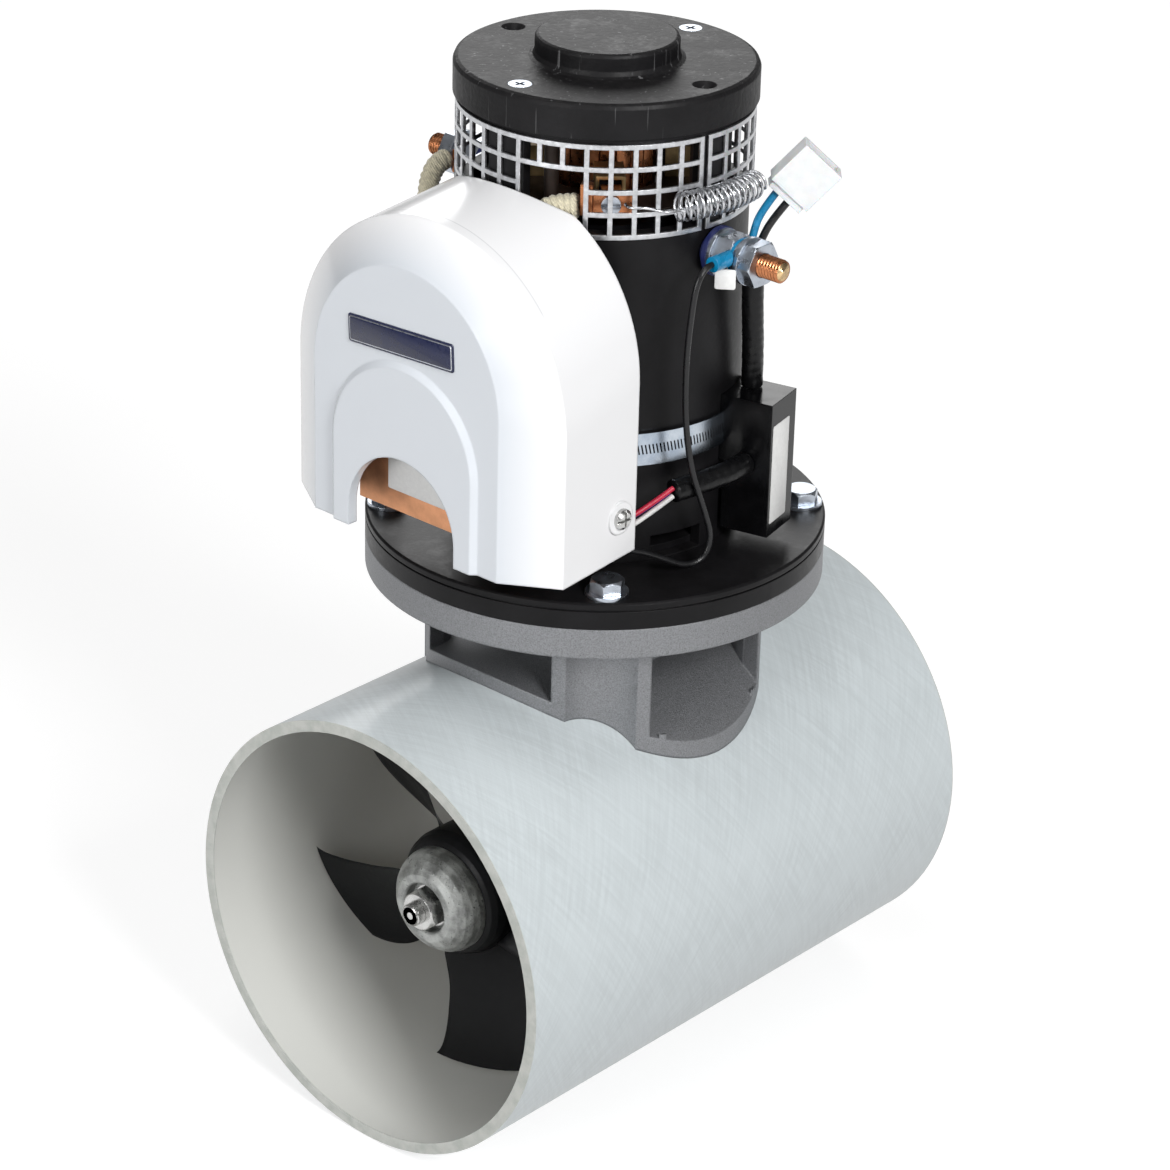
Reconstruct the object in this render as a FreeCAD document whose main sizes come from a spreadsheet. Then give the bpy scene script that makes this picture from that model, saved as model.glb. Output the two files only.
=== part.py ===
import FreeCAD, Part
import Sketcher
import math
import os
from types import SimpleNamespace
from FreeCAD import Matrix, Placement, Rotation, Vector

# Bow thruster: an electric motor on an alloy saddle drives a bevel-gear leg and a
# five-bladed propeller inside a glass-fibre tunnel.
# Millimetres and degrees. Origin where the tunnel axis (Y) meets the motor axis (+Z up).

SIZES = {
    # tunnel, laminated into the hull
    "tunnel_bore": 185.0,
    "tunnel_wall": 5.0,
    "tunnel_length": 278.0,
    # leg inside the tunnel
    "gasket_thickness": 1.0,
    "leg_pad_radius": 40.0,
    "leg_pad_thickness": 12.0,
    "spigot_radius": 16.0,
    "strut_half_chord": 24.0,
    "strut_half_width": 15.0,
    "gearcase_radius": 27.0,
    "gearcase_front": 41.0,
    "gearcase_back": 33.0,
    "gear_chamber_radius": 22.0,
    "nose_length": 22.0,
    "leg_screw_circle": 26.0,
    "leg_screw_radius": 4.0,
    "socket_head_radius": 6.5,
    "socket_head_height": 8.0,
    # saddle casting between tunnel and motor
    "hub_depth": 27.4,
    "flange_margin": 0.5,
    "flange_thickness": 13.2,
    "saddle_radius": 73.5,
    "saddle_wall": 6.0,
    "saddle_floor": 6.0,
    "scallop_radius": 22.0,
    "window_width": 70.0,
    "window_corner": 7.0,
    "saddle_hub_bore": 33.0,
    "saddle_hub_wall": 5.0,
    "hub_floor_height": 104.0,
    # motor drive-end plate and its bolts
    "plate_thickness": 11.8,
    "plate_groove_height": 3.0,
    "plate_groove_depth": 0.8,
    "bolt_margin": 10.0,
    "bolt_radius": 4.0,
    "bolt_head_flats": 13.0,
    "bolt_head_height": 5.5,
    "bolt_length": 24.0,
    "washer_radius": 9.0,
    "washer_thickness": 1.6,
    # motor
    "motor_radius": 60.0,
    "motor_wall": 5.0,
    "motor_length": 184.6,
    "brush_window_height": 35.0,
    "brush_window_angle": 72.0,
    "foot_vent_height": 10.0,
    "cap_radius": 62.5,
    "cap_thickness": 14.6,
    "cap_edge": 2.2,
    "boss_radius": 29.5,
    "boss_height": 9.5,
    "cap_screw_circle": 51.8,
    "cap_screw_radius": 2.5,
    "cap_screw_head": 5.0,
    "motor_shaft_radius": 7.5,
    "motor_bearing_radius": 17.5,
    "motor_bearing_width": 10.0,
    "armature_radius": 36.0,
    "armature_length": 90.0,
    "air_gap": 1.0,
    "commutator_radius": 21.0,
    "commutator_length": 28.0,
    "brush_ring_radius": 48.0,
    # perforated guard band round the brush windows
    "band_radius": 60.3,
    "band_thickness": 1.1,
    "band_pitch": 9.4,
    "band_web": 2.0,
    "band_columns": 39.0,
    "band_seam": 4.1,
    "band_rows": 4.0,
    "spring_radius": 5.5,
    "spring_wire": 1.2,
    "spring_turns": 15.0,
    "spring_pitch": 2.9,
    # terminals
    "stud_drop": 52.6,
    "left_stud_drop": 47.3,
    "stud_radius": 5.0,
    "stud_relief": 0.25,
    "stud_reach": 96.0,
    "stud_nut_flats": 17.0,
    "stud_nut_height": 8.4,
    "jam_nut_height": 6.0,
    "stud_washer_radius": 10.0,
    "stud_washer_thickness": 1.9,
    "spring_washer_radius": 8.6,
    "spring_washer_thickness": 2.3,
    "ring_thickness": 1.5,
    "insulator_radius": 10.4,
    "insulator_thickness": 2.3,
    # hose clamp, relay box; their heights are above the drive-end plate
    "clamp_height": 51.4,
    "clamp_width": 14.0,
    "clamp_thickness": 0.8,
    "clamp_standoff": 1.2,
    "relay_width": 22.4,
    "relay_depth": 21.7,
    "relay_height": 59.5,
    "relay_bottom": 6.1,
    "relay_azimuth": 13.4,
    "relay_offset": 6.1,
    # contactor and its cover; heights above the drive-end plate
    "cover_bottom": 19.2,
    "cover_rear": 53.7,
    "cover_corner": 102.0,
    "cover_front": 116.4,
    "cover_rear_half": 69.0,
    "cover_corner_half": 74.0,
    "cover_front_half": 51.0,
    "cover_rear_spring": 91.6,
    "cover_corner_spring": 81.1,
    "cover_front_spring": 87.1,
    "cover_wall": 2.5,
    "cover_panel_half": 38.2,
    "cover_panel_spring": 57.6,
    "cover_panel_rise": 2.2,
    "cover_notch_half": 29.5,
    "cover_notch_spring": 27.6,
    "cover_screw_height": 37.6,
    "cover_screw_setback": 65.5,
    "cover_screw_radius": 2.4,
    "contactor_half": 41.5,
    "contactor_back": 66.5,
    "contactor_depth": 33.5,
    "contactor_bottom": 22.6,
    "contactor_frame_height": 56.0,
    "contactor_sheet": 2.4,
    "contactor_housing_height": 33.0,
    "coil_radius": 14.0,
    "coil_spacing": 41.0,
    "plunger_radius": 5.0,
    "plunger_travel": 3.0,
    "bracket_plate": 2.0,
    # leg shafts and gears
    "shaft_clearance": 0.05,
    "fit_clearance": 0.05,
    "contact_gap": 0.3,
    "seat_gap": 0.1,
    "prop_shaft_radius": 7.0,
    "pinion_shaft_radius": 6.0,
    "leg_bearing_radius": 14.0,
    "leg_bearing_width": 8.0,
    "pinion_bearing_radius": 12.0,
    "pinion_bearing_width": 7.0,
    "gear_module": 1.6,
    "pinion_teeth": 12.0,
    "gear_teeth": 24.0,
    "gear_face": 6.5,
    # coupling in the saddle hub
    "coupling_radius": 20.0,
    "coupling_clearance": 9.0,
    "coupling_hub": 8.6,
    "coupling_jaw": 8.0,
    # propeller
    "blade_count": 5.0,
    "propeller_radius": 90.0,
    "propeller_hub_radius": 28.0,
    "propeller_hub_length": 48.0,
    "propeller_gap": 1.0,
    "propeller_pitch": 175.0,
    "blade_root_thickness": 5.5,
    "blade_tip_thickness": 2.2,
    "prop_thread_radius": 5.0,
    "prop_nut_flats": 17.0,
    "prop_nut_height": 8.0,
    "prop_washer_radius": 9.5,
    "prop_washer_thickness": 1.5,
    "prop_thread_end": 4.5,
    "anode_radius": 23.4,
    "anode_nose_radius": 15.5,
    "anode_length": 13.5,
    "anode_floor": 8.0,
    "anode_recess_radius": 11.2,
    "drive_pin_radius": 2.5,
    "drive_pin_length": 36.0,
}

doc = FreeCAD.newDocument("BowThruster")
sheet = doc.addObject("Spreadsheet::Sheet", "Sizes")
for row, (alias, number) in enumerate(SIZES.items(), 1):
    sheet.set(f"A{row}", alias)
    sheet.set(f"B{row}", str(number))
    sheet.setAlias(f"B{row}", alias)
doc.recompute()


class Size:
    """A length, angle or count that knows its number and the sheet formula behind it."""

    def __init__(self, value, formula):
        self.value = value
        self.formula = formula

    def __add__(self, other):
        other = as_size(other)
        return Size(self.value + other.value, f"({self.formula} + {other.formula})")

    def __sub__(self, other):
        other = as_size(other)
        return Size(self.value - other.value, f"({self.formula} - {other.formula})")

    def __mul__(self, other):
        other = as_size(other)
        return Size(self.value * other.value, f"({self.formula} * {other.formula})")

    def __truediv__(self, other):
        other = as_size(other)
        return Size(self.value / other.value, f"({self.formula} / {other.formula})")

    def __radd__(self, other):
        return as_size(other) + self

    def __rsub__(self, other):
        return as_size(other) - self

    def __rmul__(self, other):
        return as_size(other) * self

    def __neg__(self):
        return Size(-self.value, f"(0 - {self.formula})")

    def __float__(self):
        return float(self.value)


def as_size(number):
    """A plain number as a Size."""
    if isinstance(number, Size):
        return number
    return Size(float(number), f"({float(number)!r})")


def root(size):
    """The square root of a Size."""
    return Size(math.sqrt(size.value), f"sqrt({size.formula})")


def cosine(angle):
    """The cosine of an angle in degrees."""
    angle = as_size(angle)
    return Size(math.cos(math.radians(angle.value)), f"cos({angle.formula} * 1 deg)")


def sine(angle):
    """The sine of an angle in degrees."""
    angle = as_size(angle)
    return Size(math.sin(math.radians(angle.value)), f"sin({angle.formula} * 1 deg)")


d = SimpleNamespace(**{alias: Size(number, f"Sizes.{alias}") for alias, number in SIZES.items()})

# Heights and reaches that several pieces share.
tunnel_inner = d.tunnel_bore / 2
tunnel_outer = tunnel_inner + d.tunnel_wall
d.flange_underside = d.hub_floor_height + d.hub_depth
d.flange_radius = tunnel_outer + d.flange_margin
d.bolt_circle = d.flange_radius - d.bolt_margin
d.coupling_bottom = d.hub_floor_height + d.coupling_clearance
floor_radius = tunnel_outer + d.saddle_floor
plate_bottom = d.flange_underside + d.flange_thickness
plate_top = plate_bottom + d.plate_thickness
for alias in ("clamp_height", "relay_bottom", "cover_bottom", "cover_rear_spring", "cover_corner_spring",
              "cover_front_spring", "cover_panel_spring", "cover_notch_spring", "cover_screw_height",
              "contactor_bottom"):
    setattr(d, alias, plate_top + getattr(d, alias))
motor_top = plate_top + d.motor_length
cap_top = motor_top + d.cap_thickness
boss_top = cap_top + d.boss_height
stud_height = motor_top - d.stud_drop
left_stud_height = motor_top - d.left_stud_drop
band_outer = d.band_radius + d.band_thickness
insulator_seat = band_outer + d.contact_gap
insulator_neck = d.stud_radius + 3.3
ring_seat = insulator_seat + d.insulator_thickness + d.stud_washer_thickness + d.stud_nut_height
jam_seat = ring_seat + d.ring_thickness + d.spring_washer_thickness + d.stud_washer_thickness
band_height = d.band_rows * d.band_pitch + d.band_web
band_bottom = motor_top - band_height - 2.4
window_top = motor_top - 5
window_bottom = window_top - d.brush_window_height
clamp_inner = d.motor_radius + d.clamp_standoff
clamp_outer = clamp_inner + d.clamp_thickness
clamp_bottom = d.clamp_height - d.clamp_width / 2
hub_rear = d.gearcase_front + d.propeller_gap
hub_front = hub_rear + d.propeller_hub_length
anode_front = hub_front + d.anode_length
recess_floor = hub_front + d.anode_floor
nut_seat = recess_floor + d.prop_washer_thickness
nut_end = nut_seat + d.prop_nut_height
shaft_tip = nut_end + d.prop_thread_end
contactor_front = d.contactor_back + d.contactor_depth
frame_top = d.contactor_bottom + d.contactor_frame_height
bearing_seat = plate_top - d.motor_bearing_width

kept = {}


def name_for(label):
    """An internal object name for a label."""
    return "".join(word.capitalize() for word in label.split("_"))


def keep(label, obj):
    """Gives an object the label of its node and puts it on the list to export."""
    obj.Label = label
    kept[label] = obj
    return obj


def bind(obj, path, size):
    """Ties one property to a sheet formula."""
    if isinstance(size, Size):
        obj.setExpression(path, size.formula)


TURN = {
    "Z": Rotation(),
    "Y": Rotation(Vector(1, 0, 0), -90),
    "X": Rotation(Vector(0, 1, 0), 90),
}


def put(obj, at, turn=None):
    """Places an object, with each coordinate tied to the sheet."""
    obj.Placement = Placement(Vector(*[float(c) for c in at]), turn or Rotation())
    for axis, size in zip("xyz", at):
        bind(obj, f"Placement.Base.{axis}", size)
    return obj


def set_size(obj, prop, size):
    """Sets a property to a Size and ties it to the sheet."""
    setattr(obj, prop, float(size))
    bind(obj, prop, size)


def cylinder(name, radius, height, at=(0, 0, 0), along="Z", angle=None, start=0):
    """A cylinder that starts at a point and runs along an axis."""
    obj = doc.addObject("Part::Cylinder", name)
    set_size(obj, "Radius", radius)
    set_size(obj, "Height", height)
    if angle is not None:
        set_size(obj, "Angle", angle)
    return put(obj, at, TURN[along].multiply(Rotation(Vector(0, 0, 1), float(start))))


def cone(name, low, high, height, at=(0, 0, 0), along="Z"):
    """A cone frustum that starts at a point and runs along an axis."""
    obj = doc.addObject("Part::Cone", name)
    set_size(obj, "Radius1", low)
    set_size(obj, "Radius2", high)
    set_size(obj, "Height", height)
    return put(obj, at, TURN[along])


def box(name, low, size, turn=None):
    """A box from its low corner and its three sizes."""
    obj = doc.addObject("Part::Box", name)
    for prop, side in zip(("Length", "Width", "Height"), size):
        set_size(obj, prop, side)
    return put(obj, low, turn)


def hexagon(name, flats, height, at=(0, 0, 0), along="Z", start=0):
    """A six-sided prism of a given width across its flats."""
    obj = doc.addObject("Part::Prism", name)
    obj.Polygon = 6
    set_size(obj, "Circumradius", flats / math.sqrt(3))
    set_size(obj, "Height", height)
    return put(obj, at, TURN[along].multiply(Rotation(Vector(0, 0, 1), float(start))))


def cut(name, base, *tools):
    """A boolean cut of one or more tools from a base."""
    obj = doc.addObject("Part::Cut", name)
    obj.Base = base
    obj.Tool = tools[0] if len(tools) == 1 else fuse(name + "Tools", *tools)
    return obj


def fuse(name, *parts):
    """A boolean union."""
    obj = doc.addObject("Part::MultiFuse", name)
    obj.Shapes = list(parts)
    obj.Refine = False
    return obj


def common(name, *parts):
    """A boolean intersection."""
    obj = doc.addObject("Part::MultiCommon", name)
    obj.Shapes = list(parts)
    return obj


def group(name, *parts):
    """Separate solids kept together."""
    obj = doc.addObject("Part::Compound", name)
    obj.Links = list(parts)
    return obj


def ring(name, outer, inner, height, at=(0, 0, 0), along="Z"):
    """A plain ring."""
    return cut(name, cylinder(name + "Outer", outer, height, at, along),
               cylinder(name + "Inner", inner, height, at, along))


def feature(name, shape, at=(0, 0, 0), turn=None):
    """A shape made with Part's own functions, placed after it is set."""
    obj = doc.addObject("Part::Feature", name)
    obj.Shape = shape
    obj.Placement = Placement(Vector(*[float(c) for c in at]), turn or Rotation())
    return obj


def polar(radius, angle):
    """A point at a radius and an angle round Z."""
    return (radius * cosine(angle), radius * sine(angle))


def origin_plane(body, role):
    """One of a body's own origin planes."""
    return next(item for item in body.Origin.OriginFeatures if item.Role == role)


def tie_polygon(sketch, points):
    """Draws a closed outline and ties each corner to the sheet."""
    count = len(points)
    xy = [Vector(float(a), float(b), 0) for a, b in points]
    for i in range(count):
        sketch.addGeometry(Part.LineSegment(xy[i], xy[(i + 1) % count]), False)
    for i in range(count):
        sketch.addConstraint(Sketcher.Constraint("Coincident", i, 2, (i + 1) % count, 1))
    for i, corner in enumerate(points):
        for kind, axis, size in (("DistanceX", -2, corner[0]), ("DistanceY", -1, corner[1])):
            if float(size) == 0:
                sketch.addConstraint(Sketcher.Constraint("PointOnObject", i, 1, axis))
                continue
            index = sketch.addConstraint(Sketcher.Constraint(kind, -1, 1, i, 1, float(size)))
            bind(sketch, f"Constraints[{index}]", size)


def turned(name, axis, points):
    """A body of revolution: corners are (radius, place along the axis)."""
    body = doc.addObject("PartDesign::Body", name)
    sketch = body.newObject("Sketcher::SketchObject", name + "Profile")
    sketch.AttachmentSupport = [(origin_plane(body, "XZ_Plane" if axis == "Z" else "XY_Plane"), "")]
    sketch.MapMode = "FlatFace"
    tie_polygon(sketch, points)
    revolution = body.newObject("PartDesign::Revolution", name + "Turn")
    revolution.Profile = sketch
    revolution.ReferenceAxis = (sketch, ["V_Axis"])
    revolution.Angle = 360
    body.Tip = revolution
    return body


def round_edges(body, radius, wanted):
    """Rounds the edges of a body's tip that a test picks."""
    doc.recompute()
    tip = body.Tip
    names = [f"Edge{i}" for i, edge in enumerate(tip.Shape.Edges, 1) if wanted(edge)]
    rounding = body.newObject("PartDesign::Fillet", body.Name + "Round")
    rounding.Base = (tip, names)
    set_size(rounding, "Radius", radius)
    body.Tip = rounding
    return body


def cable_wire(points):
    """Straight runs joined by tangent arcs, each as large as its two runs allow."""
    points = [Vector(*[float(c) for c in p]) for p in points]
    edges = []
    radii = []
    last = points[0]
    for before, corner, after in zip(points, points[1:], points[2:]):
        back = (before - corner)
        ahead = (after - corner)
        turn = math.pi - back.getAngle(ahead)
        trim = 0.45 * min(back.Length, ahead.Length)
        radii.append(trim / math.tan(turn / 2))
        start = corner + back.normalize() * trim
        end = corner + ahead.normalize() * trim
        middle_way = (start + end) * 0.5 - corner
        centre_gap = math.hypot(radii[-1], trim)
        middle = corner + middle_way.normalize() * (centre_gap - radii[-1])
        edges.append(Part.LineSegment(last, start).toShape())
        edges.append(Part.Arc(start, middle, end).toShape())
        last = end
    edges.append(Part.LineSegment(last, points[-1]).toShape())
    return Part.Wire(edges), radii


def cable(name, points, radius):
    """A round cable along a route, checked against its section times its length."""
    wire, radii = cable_wire(points)
    start = Vector(*[float(c) for c in points[0]])
    ahead = Vector(*[float(c) for c in points[1]]) - start
    section = Part.Wire([Part.Circle(start, ahead, float(radius)).toShape()])
    solid = wire.makePipeShell([section], True, False, 1)
    expected = math.pi * float(radius) ** 2 * wire.Length
    print(f"{name}: length {wire.Length:.1f}, smallest bend {min(radii):.1f}, "
          f"volume ratio {solid.Volume / expected:.4f}")
    return feature(name, Part.Solid(solid) if solid.ShapeType == "Shell" else solid)


# ---------------------------------------------------------------- tunnel and leg

def leg_screw_places():
    """The four leg screws stand on the diagonals."""
    return [polar(d.leg_screw_circle, 45 + 90 * k) for k in range(4)]


def flange_bolt_places():
    """The four flange bolts stand on the diagonals."""
    return [polar(d.bolt_circle, 45 + 90 * k) for k in range(4)]


def holes(name, places, radius, low, height):
    """Upright drills at several places."""
    return [cylinder(f"{name}{k}", radius, height, (x, y, low)) for k, (x, y) in enumerate(places)]


def tube_section(name, outer, inner, footprint):
    """The part of a tube about the tunnel axis that lies over a round footprint."""
    shell = ring(name + "Shell", outer, inner, footprint * 2, (0, -footprint, 0), "Y")
    return common(name, shell, cylinder(name + "Print", footprint, outer + 1))


def make_tunnel():
    """The filament-wound tunnel, drilled for the leg."""
    tube = ring("TunnelTube", tunnel_outer, tunnel_inner, d.tunnel_length,
                (0, -d.tunnel_length / 2, 0), "Y")
    spigot = cylinder("TunnelSpigotHole", d.spigot_radius + 0.5, tunnel_outer, (0, 0, tunnel_inner / 2))
    drills = holes("TunnelDrill", leg_screw_places(), d.leg_screw_radius + d.fit_clearance,
                   tunnel_inner / 2, tunnel_outer)
    keep("tunnel", cut("Tunnel", tube, spigot, *drills))


def make_gasket():
    """The cork gasket between the leg pad and the bore."""
    skin = tunnel_inner - d.seat_gap
    sheet_part = tube_section("GasketSheet", skin, skin - d.gasket_thickness, d.leg_pad_radius)
    spigot = cylinder("GasketHole", d.spigot_radius + 0.5, tunnel_outer)
    drills = holes("GasketDrill", leg_screw_places(), d.leg_screw_radius + d.fit_clearance,
                   0, tunnel_outer)
    keep("leg_gasket", cut("LegGasket", sheet_part, spigot, *drills))


def make_leg():
    """The bronze leg: pad, faired strut and gearcase, bored for its shafts."""
    pad_top = tunnel_inner - d.gasket_thickness - d.seat_gap * 2
    pad = tube_section("LegPad", pad_top, pad_top - d.leg_pad_thickness, d.leg_pad_radius)
    spigot = cylinder("LegSpigot", d.spigot_radius, d.hub_floor_height - pad_top + 8,
                      (0, 0, pad_top - 8))
    strut = doc.addObject("Part::Ellipse", "StrutOutline")
    set_size(strut, "MajorRadius", d.strut_half_chord)
    set_size(strut, "MinorRadius", d.strut_half_width)
    strut.Placement = Placement(Vector(), Rotation(Vector(0, 0, 1), 90))
    strut_solid = doc.addObject("Part::Extrusion", "Strut")
    strut_solid.Base = strut
    strut_solid.Dir = Vector(0, 0, 1)
    strut_solid.Solid = True
    set_size(strut_solid, "LengthFwd", pad_top - 6)
    lip = 3.0
    case = turned("Gearcase", "Y", [
        (0, -d.gearcase_front), (d.gearcase_radius - lip, -d.gearcase_front),
        (d.gearcase_radius, -d.gearcase_front + lip * 2), (d.gearcase_radius, d.gearcase_back),
        (0, d.gearcase_back)])
    outside = fuse("LegOutside", pad, spigot, strut_solid, case)
    front_seat = d.leg_bearing_width * 2 + 3
    chamber_front = d.gear_chamber_radius - 8
    tools = [
        cylinder("LegChamber", d.gear_chamber_radius, d.gearcase_back + chamber_front + 1,
                 (0, -chamber_front, 0), "Y"),
        cylinder("LegFrontSeat", d.leg_bearing_radius, front_seat + 1, (0, -d.gearcase_front - 1, 0), "Y"),
        cylinder("LegShaftBore", d.prop_shaft_radius + 1.5, d.gearcase_front, (0, -d.gearcase_front, 0), "Y"),
        cylinder("LegPinionBore", d.pinion_shaft_radius + 2, d.hub_floor_height + 10),
        cylinder("LegLowerSeat", d.pinion_bearing_radius, pinion_seat_top),
        cylinder("LegUpperSeat", d.pinion_bearing_radius, 40, (0, 0, upper_seat_bottom)),
    ]
    tools += holes("LegTapping", leg_screw_places(), d.leg_screw_radius + d.fit_clearance,
                   leg_screw_end - 1, 40)
    keep("gear_leg", cut("GearLeg", outside, *tools))


pinion_seat_bottom = d.gear_chamber_radius + 5
pinion_seat_top = pinion_seat_bottom + d.pinion_bearing_width
upper_seat_bottom = tunnel_inner - 18.5
leg_screw_end = tunnel_inner - 11


def make_leg_cap():
    """The nose cap that closes the gearcase and carries the rear bearing."""
    seat_end = d.gear_chamber_radius + d.leg_bearing_width + 1
    nose = turned("LegNose", "Y", [
        (0, d.gear_chamber_radius), (d.gear_chamber_radius - d.fit_clearance, d.gear_chamber_radius),
        (d.gear_chamber_radius - d.fit_clearance, d.gearcase_back), (d.gearcase_radius, d.gearcase_back),
        (d.gearcase_radius - 1.5, d.gearcase_back + d.nose_length * 0.35),
        (d.gearcase_radius - 6, d.gearcase_back + d.nose_length * 0.68),
        (d.gearcase_radius - 14, d.gearcase_back + d.nose_length * 0.93),
        (0, d.gearcase_back + d.nose_length)])
    seat = cylinder("LegNoseSeat", d.leg_bearing_radius, seat_end - d.gear_chamber_radius,
                    (0, d.gear_chamber_radius, 0), "Y")
    relief = cylinder("LegNoseRelief", d.prop_shaft_radius + 1.5, 4, (0, seat_end, 0), "Y")
    keep("leg_end_cap", cut("LegEndCap", nose, seat, relief))


def make_leg_screws():
    """Four socket screws that clamp saddle, tunnel and leg together."""
    screws = []
    shank = d.hub_floor_height - leg_screw_end
    for k, (x, y) in enumerate(leg_screw_places()):
        body = fuse(f"LegScrewBody{k}",
                    cylinder(f"LegScrewHead{k}", d.socket_head_radius, d.socket_head_height,
                             (x, y, d.hub_floor_height)),
                    cylinder(f"LegScrewShank{k}", d.leg_screw_radius, shank, (x, y, leg_screw_end)))
        socket = hexagon(f"LegScrewSocket{k}", d.leg_screw_radius * 1.5, 4.5,
                         (x, y, d.hub_floor_height + d.socket_head_height - 4))
        screws.append(cut(f"LegScrew{k}", body, socket))
    keep("leg_screws", group("LegScrews", *screws))


# ---------------------------------------------------------------- saddle and base plate

def make_saddle():
    """The cast saddle: scalloped skirt with four windows, hub, floor and flange."""
    height = d.flange_underside
    skirt = cylinder("SaddleSkirt", d.saddle_radius, height)
    cavity = cylinder("SaddleCavity", d.saddle_radius - d.saddle_wall, height)
    keep_in = [cylinder("SaddleHub", d.saddle_hub_bore + d.saddle_hub_wall, height),
               cylinder("SaddleFloor", floor_radius, d.saddle_radius * 2 + 10,
                        (0, -d.saddle_radius - 5, 0), "Y")]
    scallops = []
    for k, (x, y) in enumerate(flange_bolt_places()):
        keep_in.append(cylinder(f"SaddleScallopWall{k}", d.scallop_radius + d.saddle_wall, height, (x, y, 0)))
        scallops.append(cylinder(f"SaddleScallop{k}", d.scallop_radius, height, (x, y, 0)))
    hollow = cut("SaddleHollow", cavity, *keep_in)
    reach = d.saddle_radius + 10
    windows = fuse(
        "SaddleWindowBars",
        box("SaddleWindowX", (-reach, -d.window_width / 2, 0), (reach * 2, d.window_width, height)),
        box("SaddleWindowY", (-d.window_width / 2, -reach, 0), (d.window_width, reach * 2, height)))
    core = cylinder("SaddleWindowCore", d.saddle_radius - d.saddle_wall - 1, height)
    sill = cylinder("SaddleSill", floor_radius, reach * 2, (0, -reach, 0), "Y")
    openings = cut("SaddleWindows", windows, core, sill)
    corners = []
    for k, (side, along) in enumerate(((1, "X"), (-1, "X"), (1, "Y"), (-1, "Y"))):
        for m, hand in enumerate((1, -1)):
            corners.append(window_corner(f"SaddleCorner{k}{m}", along, side, hand))
    opened = cut("SaddleOpened", skirt, *scallops, hollow, openings)
    flange = cylinder("SaddleFlange", d.flange_radius, d.flange_thickness, (0, 0, height))
    hub_floor = cylinder("SaddleHubFloor", d.saddle_hub_bore + d.saddle_hub_wall, d.hub_floor_height)
    solid = fuse("SaddleSolid", opened, flange, hub_floor, *corners)
    tunnel_room = cylinder("SaddleTunnelRoom", tunnel_outer + d.seat_gap, reach * 2, (0, -reach, 0), "Y")
    hub_bore = cylinder("SaddleHubBore", d.saddle_hub_bore, height, (0, 0, d.hub_floor_height))
    spigot = cylinder("SaddleSpigotHole", d.spigot_radius + d.fit_clearance, height)
    taps = holes("SaddleTap", flange_bolt_places(), d.bolt_radius + d.fit_clearance, height - 1,
                 d.flange_thickness + 2)
    drills = holes("SaddleDrill", leg_screw_places(), d.leg_screw_radius + d.fit_clearance,
                   0, d.hub_floor_height + 1)
    keep("saddle_bracket", cut("SaddleBracket", solid, tunnel_room, hub_bore, spigot, *taps, *drills))


def window_corner(name, along, side, hand):
    """The rounded lower corner of a saddle window, standing on the sloping sill."""
    corner = d.window_corner
    depth = d.saddle_wall + 1
    reach = d.saddle_radius - depth
    edge = d.window_width / 2
    at_edge = root(d.saddle_radius * d.saddle_radius - edge * edge)
    if along == "X":
        sill = root(floor_radius * floor_radius - at_edge * at_edge)
        low = (reach if side > 0 else -d.saddle_radius, edge - corner if hand > 0 else -edge, sill - 4)
        size = (depth, corner, corner + 4)
        centre = (low[0] - 1, (edge - corner) * hand, sill + corner)
        drill = cylinder(name + "Round", corner, depth + 2, centre, "X")
    else:
        sill = root(floor_radius * floor_radius - edge * edge)
        low = (edge - corner if hand > 0 else -edge, reach if side > 0 else -d.saddle_radius, sill - 4)
        size = (corner, depth, corner + 4)
        centre = ((edge - corner) * hand, low[1] - 1, sill + corner)
        drill = cylinder(name + "Round", corner, depth + 2, centre, "Y")
    block = cut(name + "Gusset", box(name + "Block", low, size), drill)
    return common(name, block, cylinder(name + "Limit", d.saddle_radius, d.flange_underside))


def make_base_plate():
    """The motor's black drive-end plate with its register and bearing seat."""
    register = d.motor_radius - d.motor_wall - d.fit_clearance
    groove_top = plate_top - d.plate_groove_height
    groove_low = groove_top - d.plate_groove_depth
    plate = turned("PlateBody", "Z", [
        (d.motor_shaft_radius + 3, plate_bottom), (d.flange_radius, plate_bottom),
        (d.flange_radius, groove_low), (d.flange_radius - d.plate_groove_depth, groove_low),
        (d.flange_radius - d.plate_groove_depth, groove_top), (d.flange_radius, groove_top),
        (d.flange_radius, plate_top - 0.8), (d.flange_radius - 0.8, plate_top),
        (register, plate_top), (register, plate_top + 4), (register - 8, plate_top + 4),
        (register - 8, plate_top), (d.motor_bearing_radius, plate_top),
        (d.motor_bearing_radius, bearing_seat), (d.motor_shaft_radius + 3, bearing_seat)])
    drills = holes("PlateDrill", flange_bolt_places(), d.bolt_radius + d.fit_clearance,
                   plate_bottom - 1, d.plate_thickness + 2)
    taps = [cylinder(f"PlateTap{k}", d.cap_screw_radius + d.fit_clearance, 20,
                     (0, d.cap_screw_circle * side, plate_bottom + 4))
            for k, side in enumerate((1, -1))]
    keep("base_plate", cut("BasePlate", plate, *drills, *taps))


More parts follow.
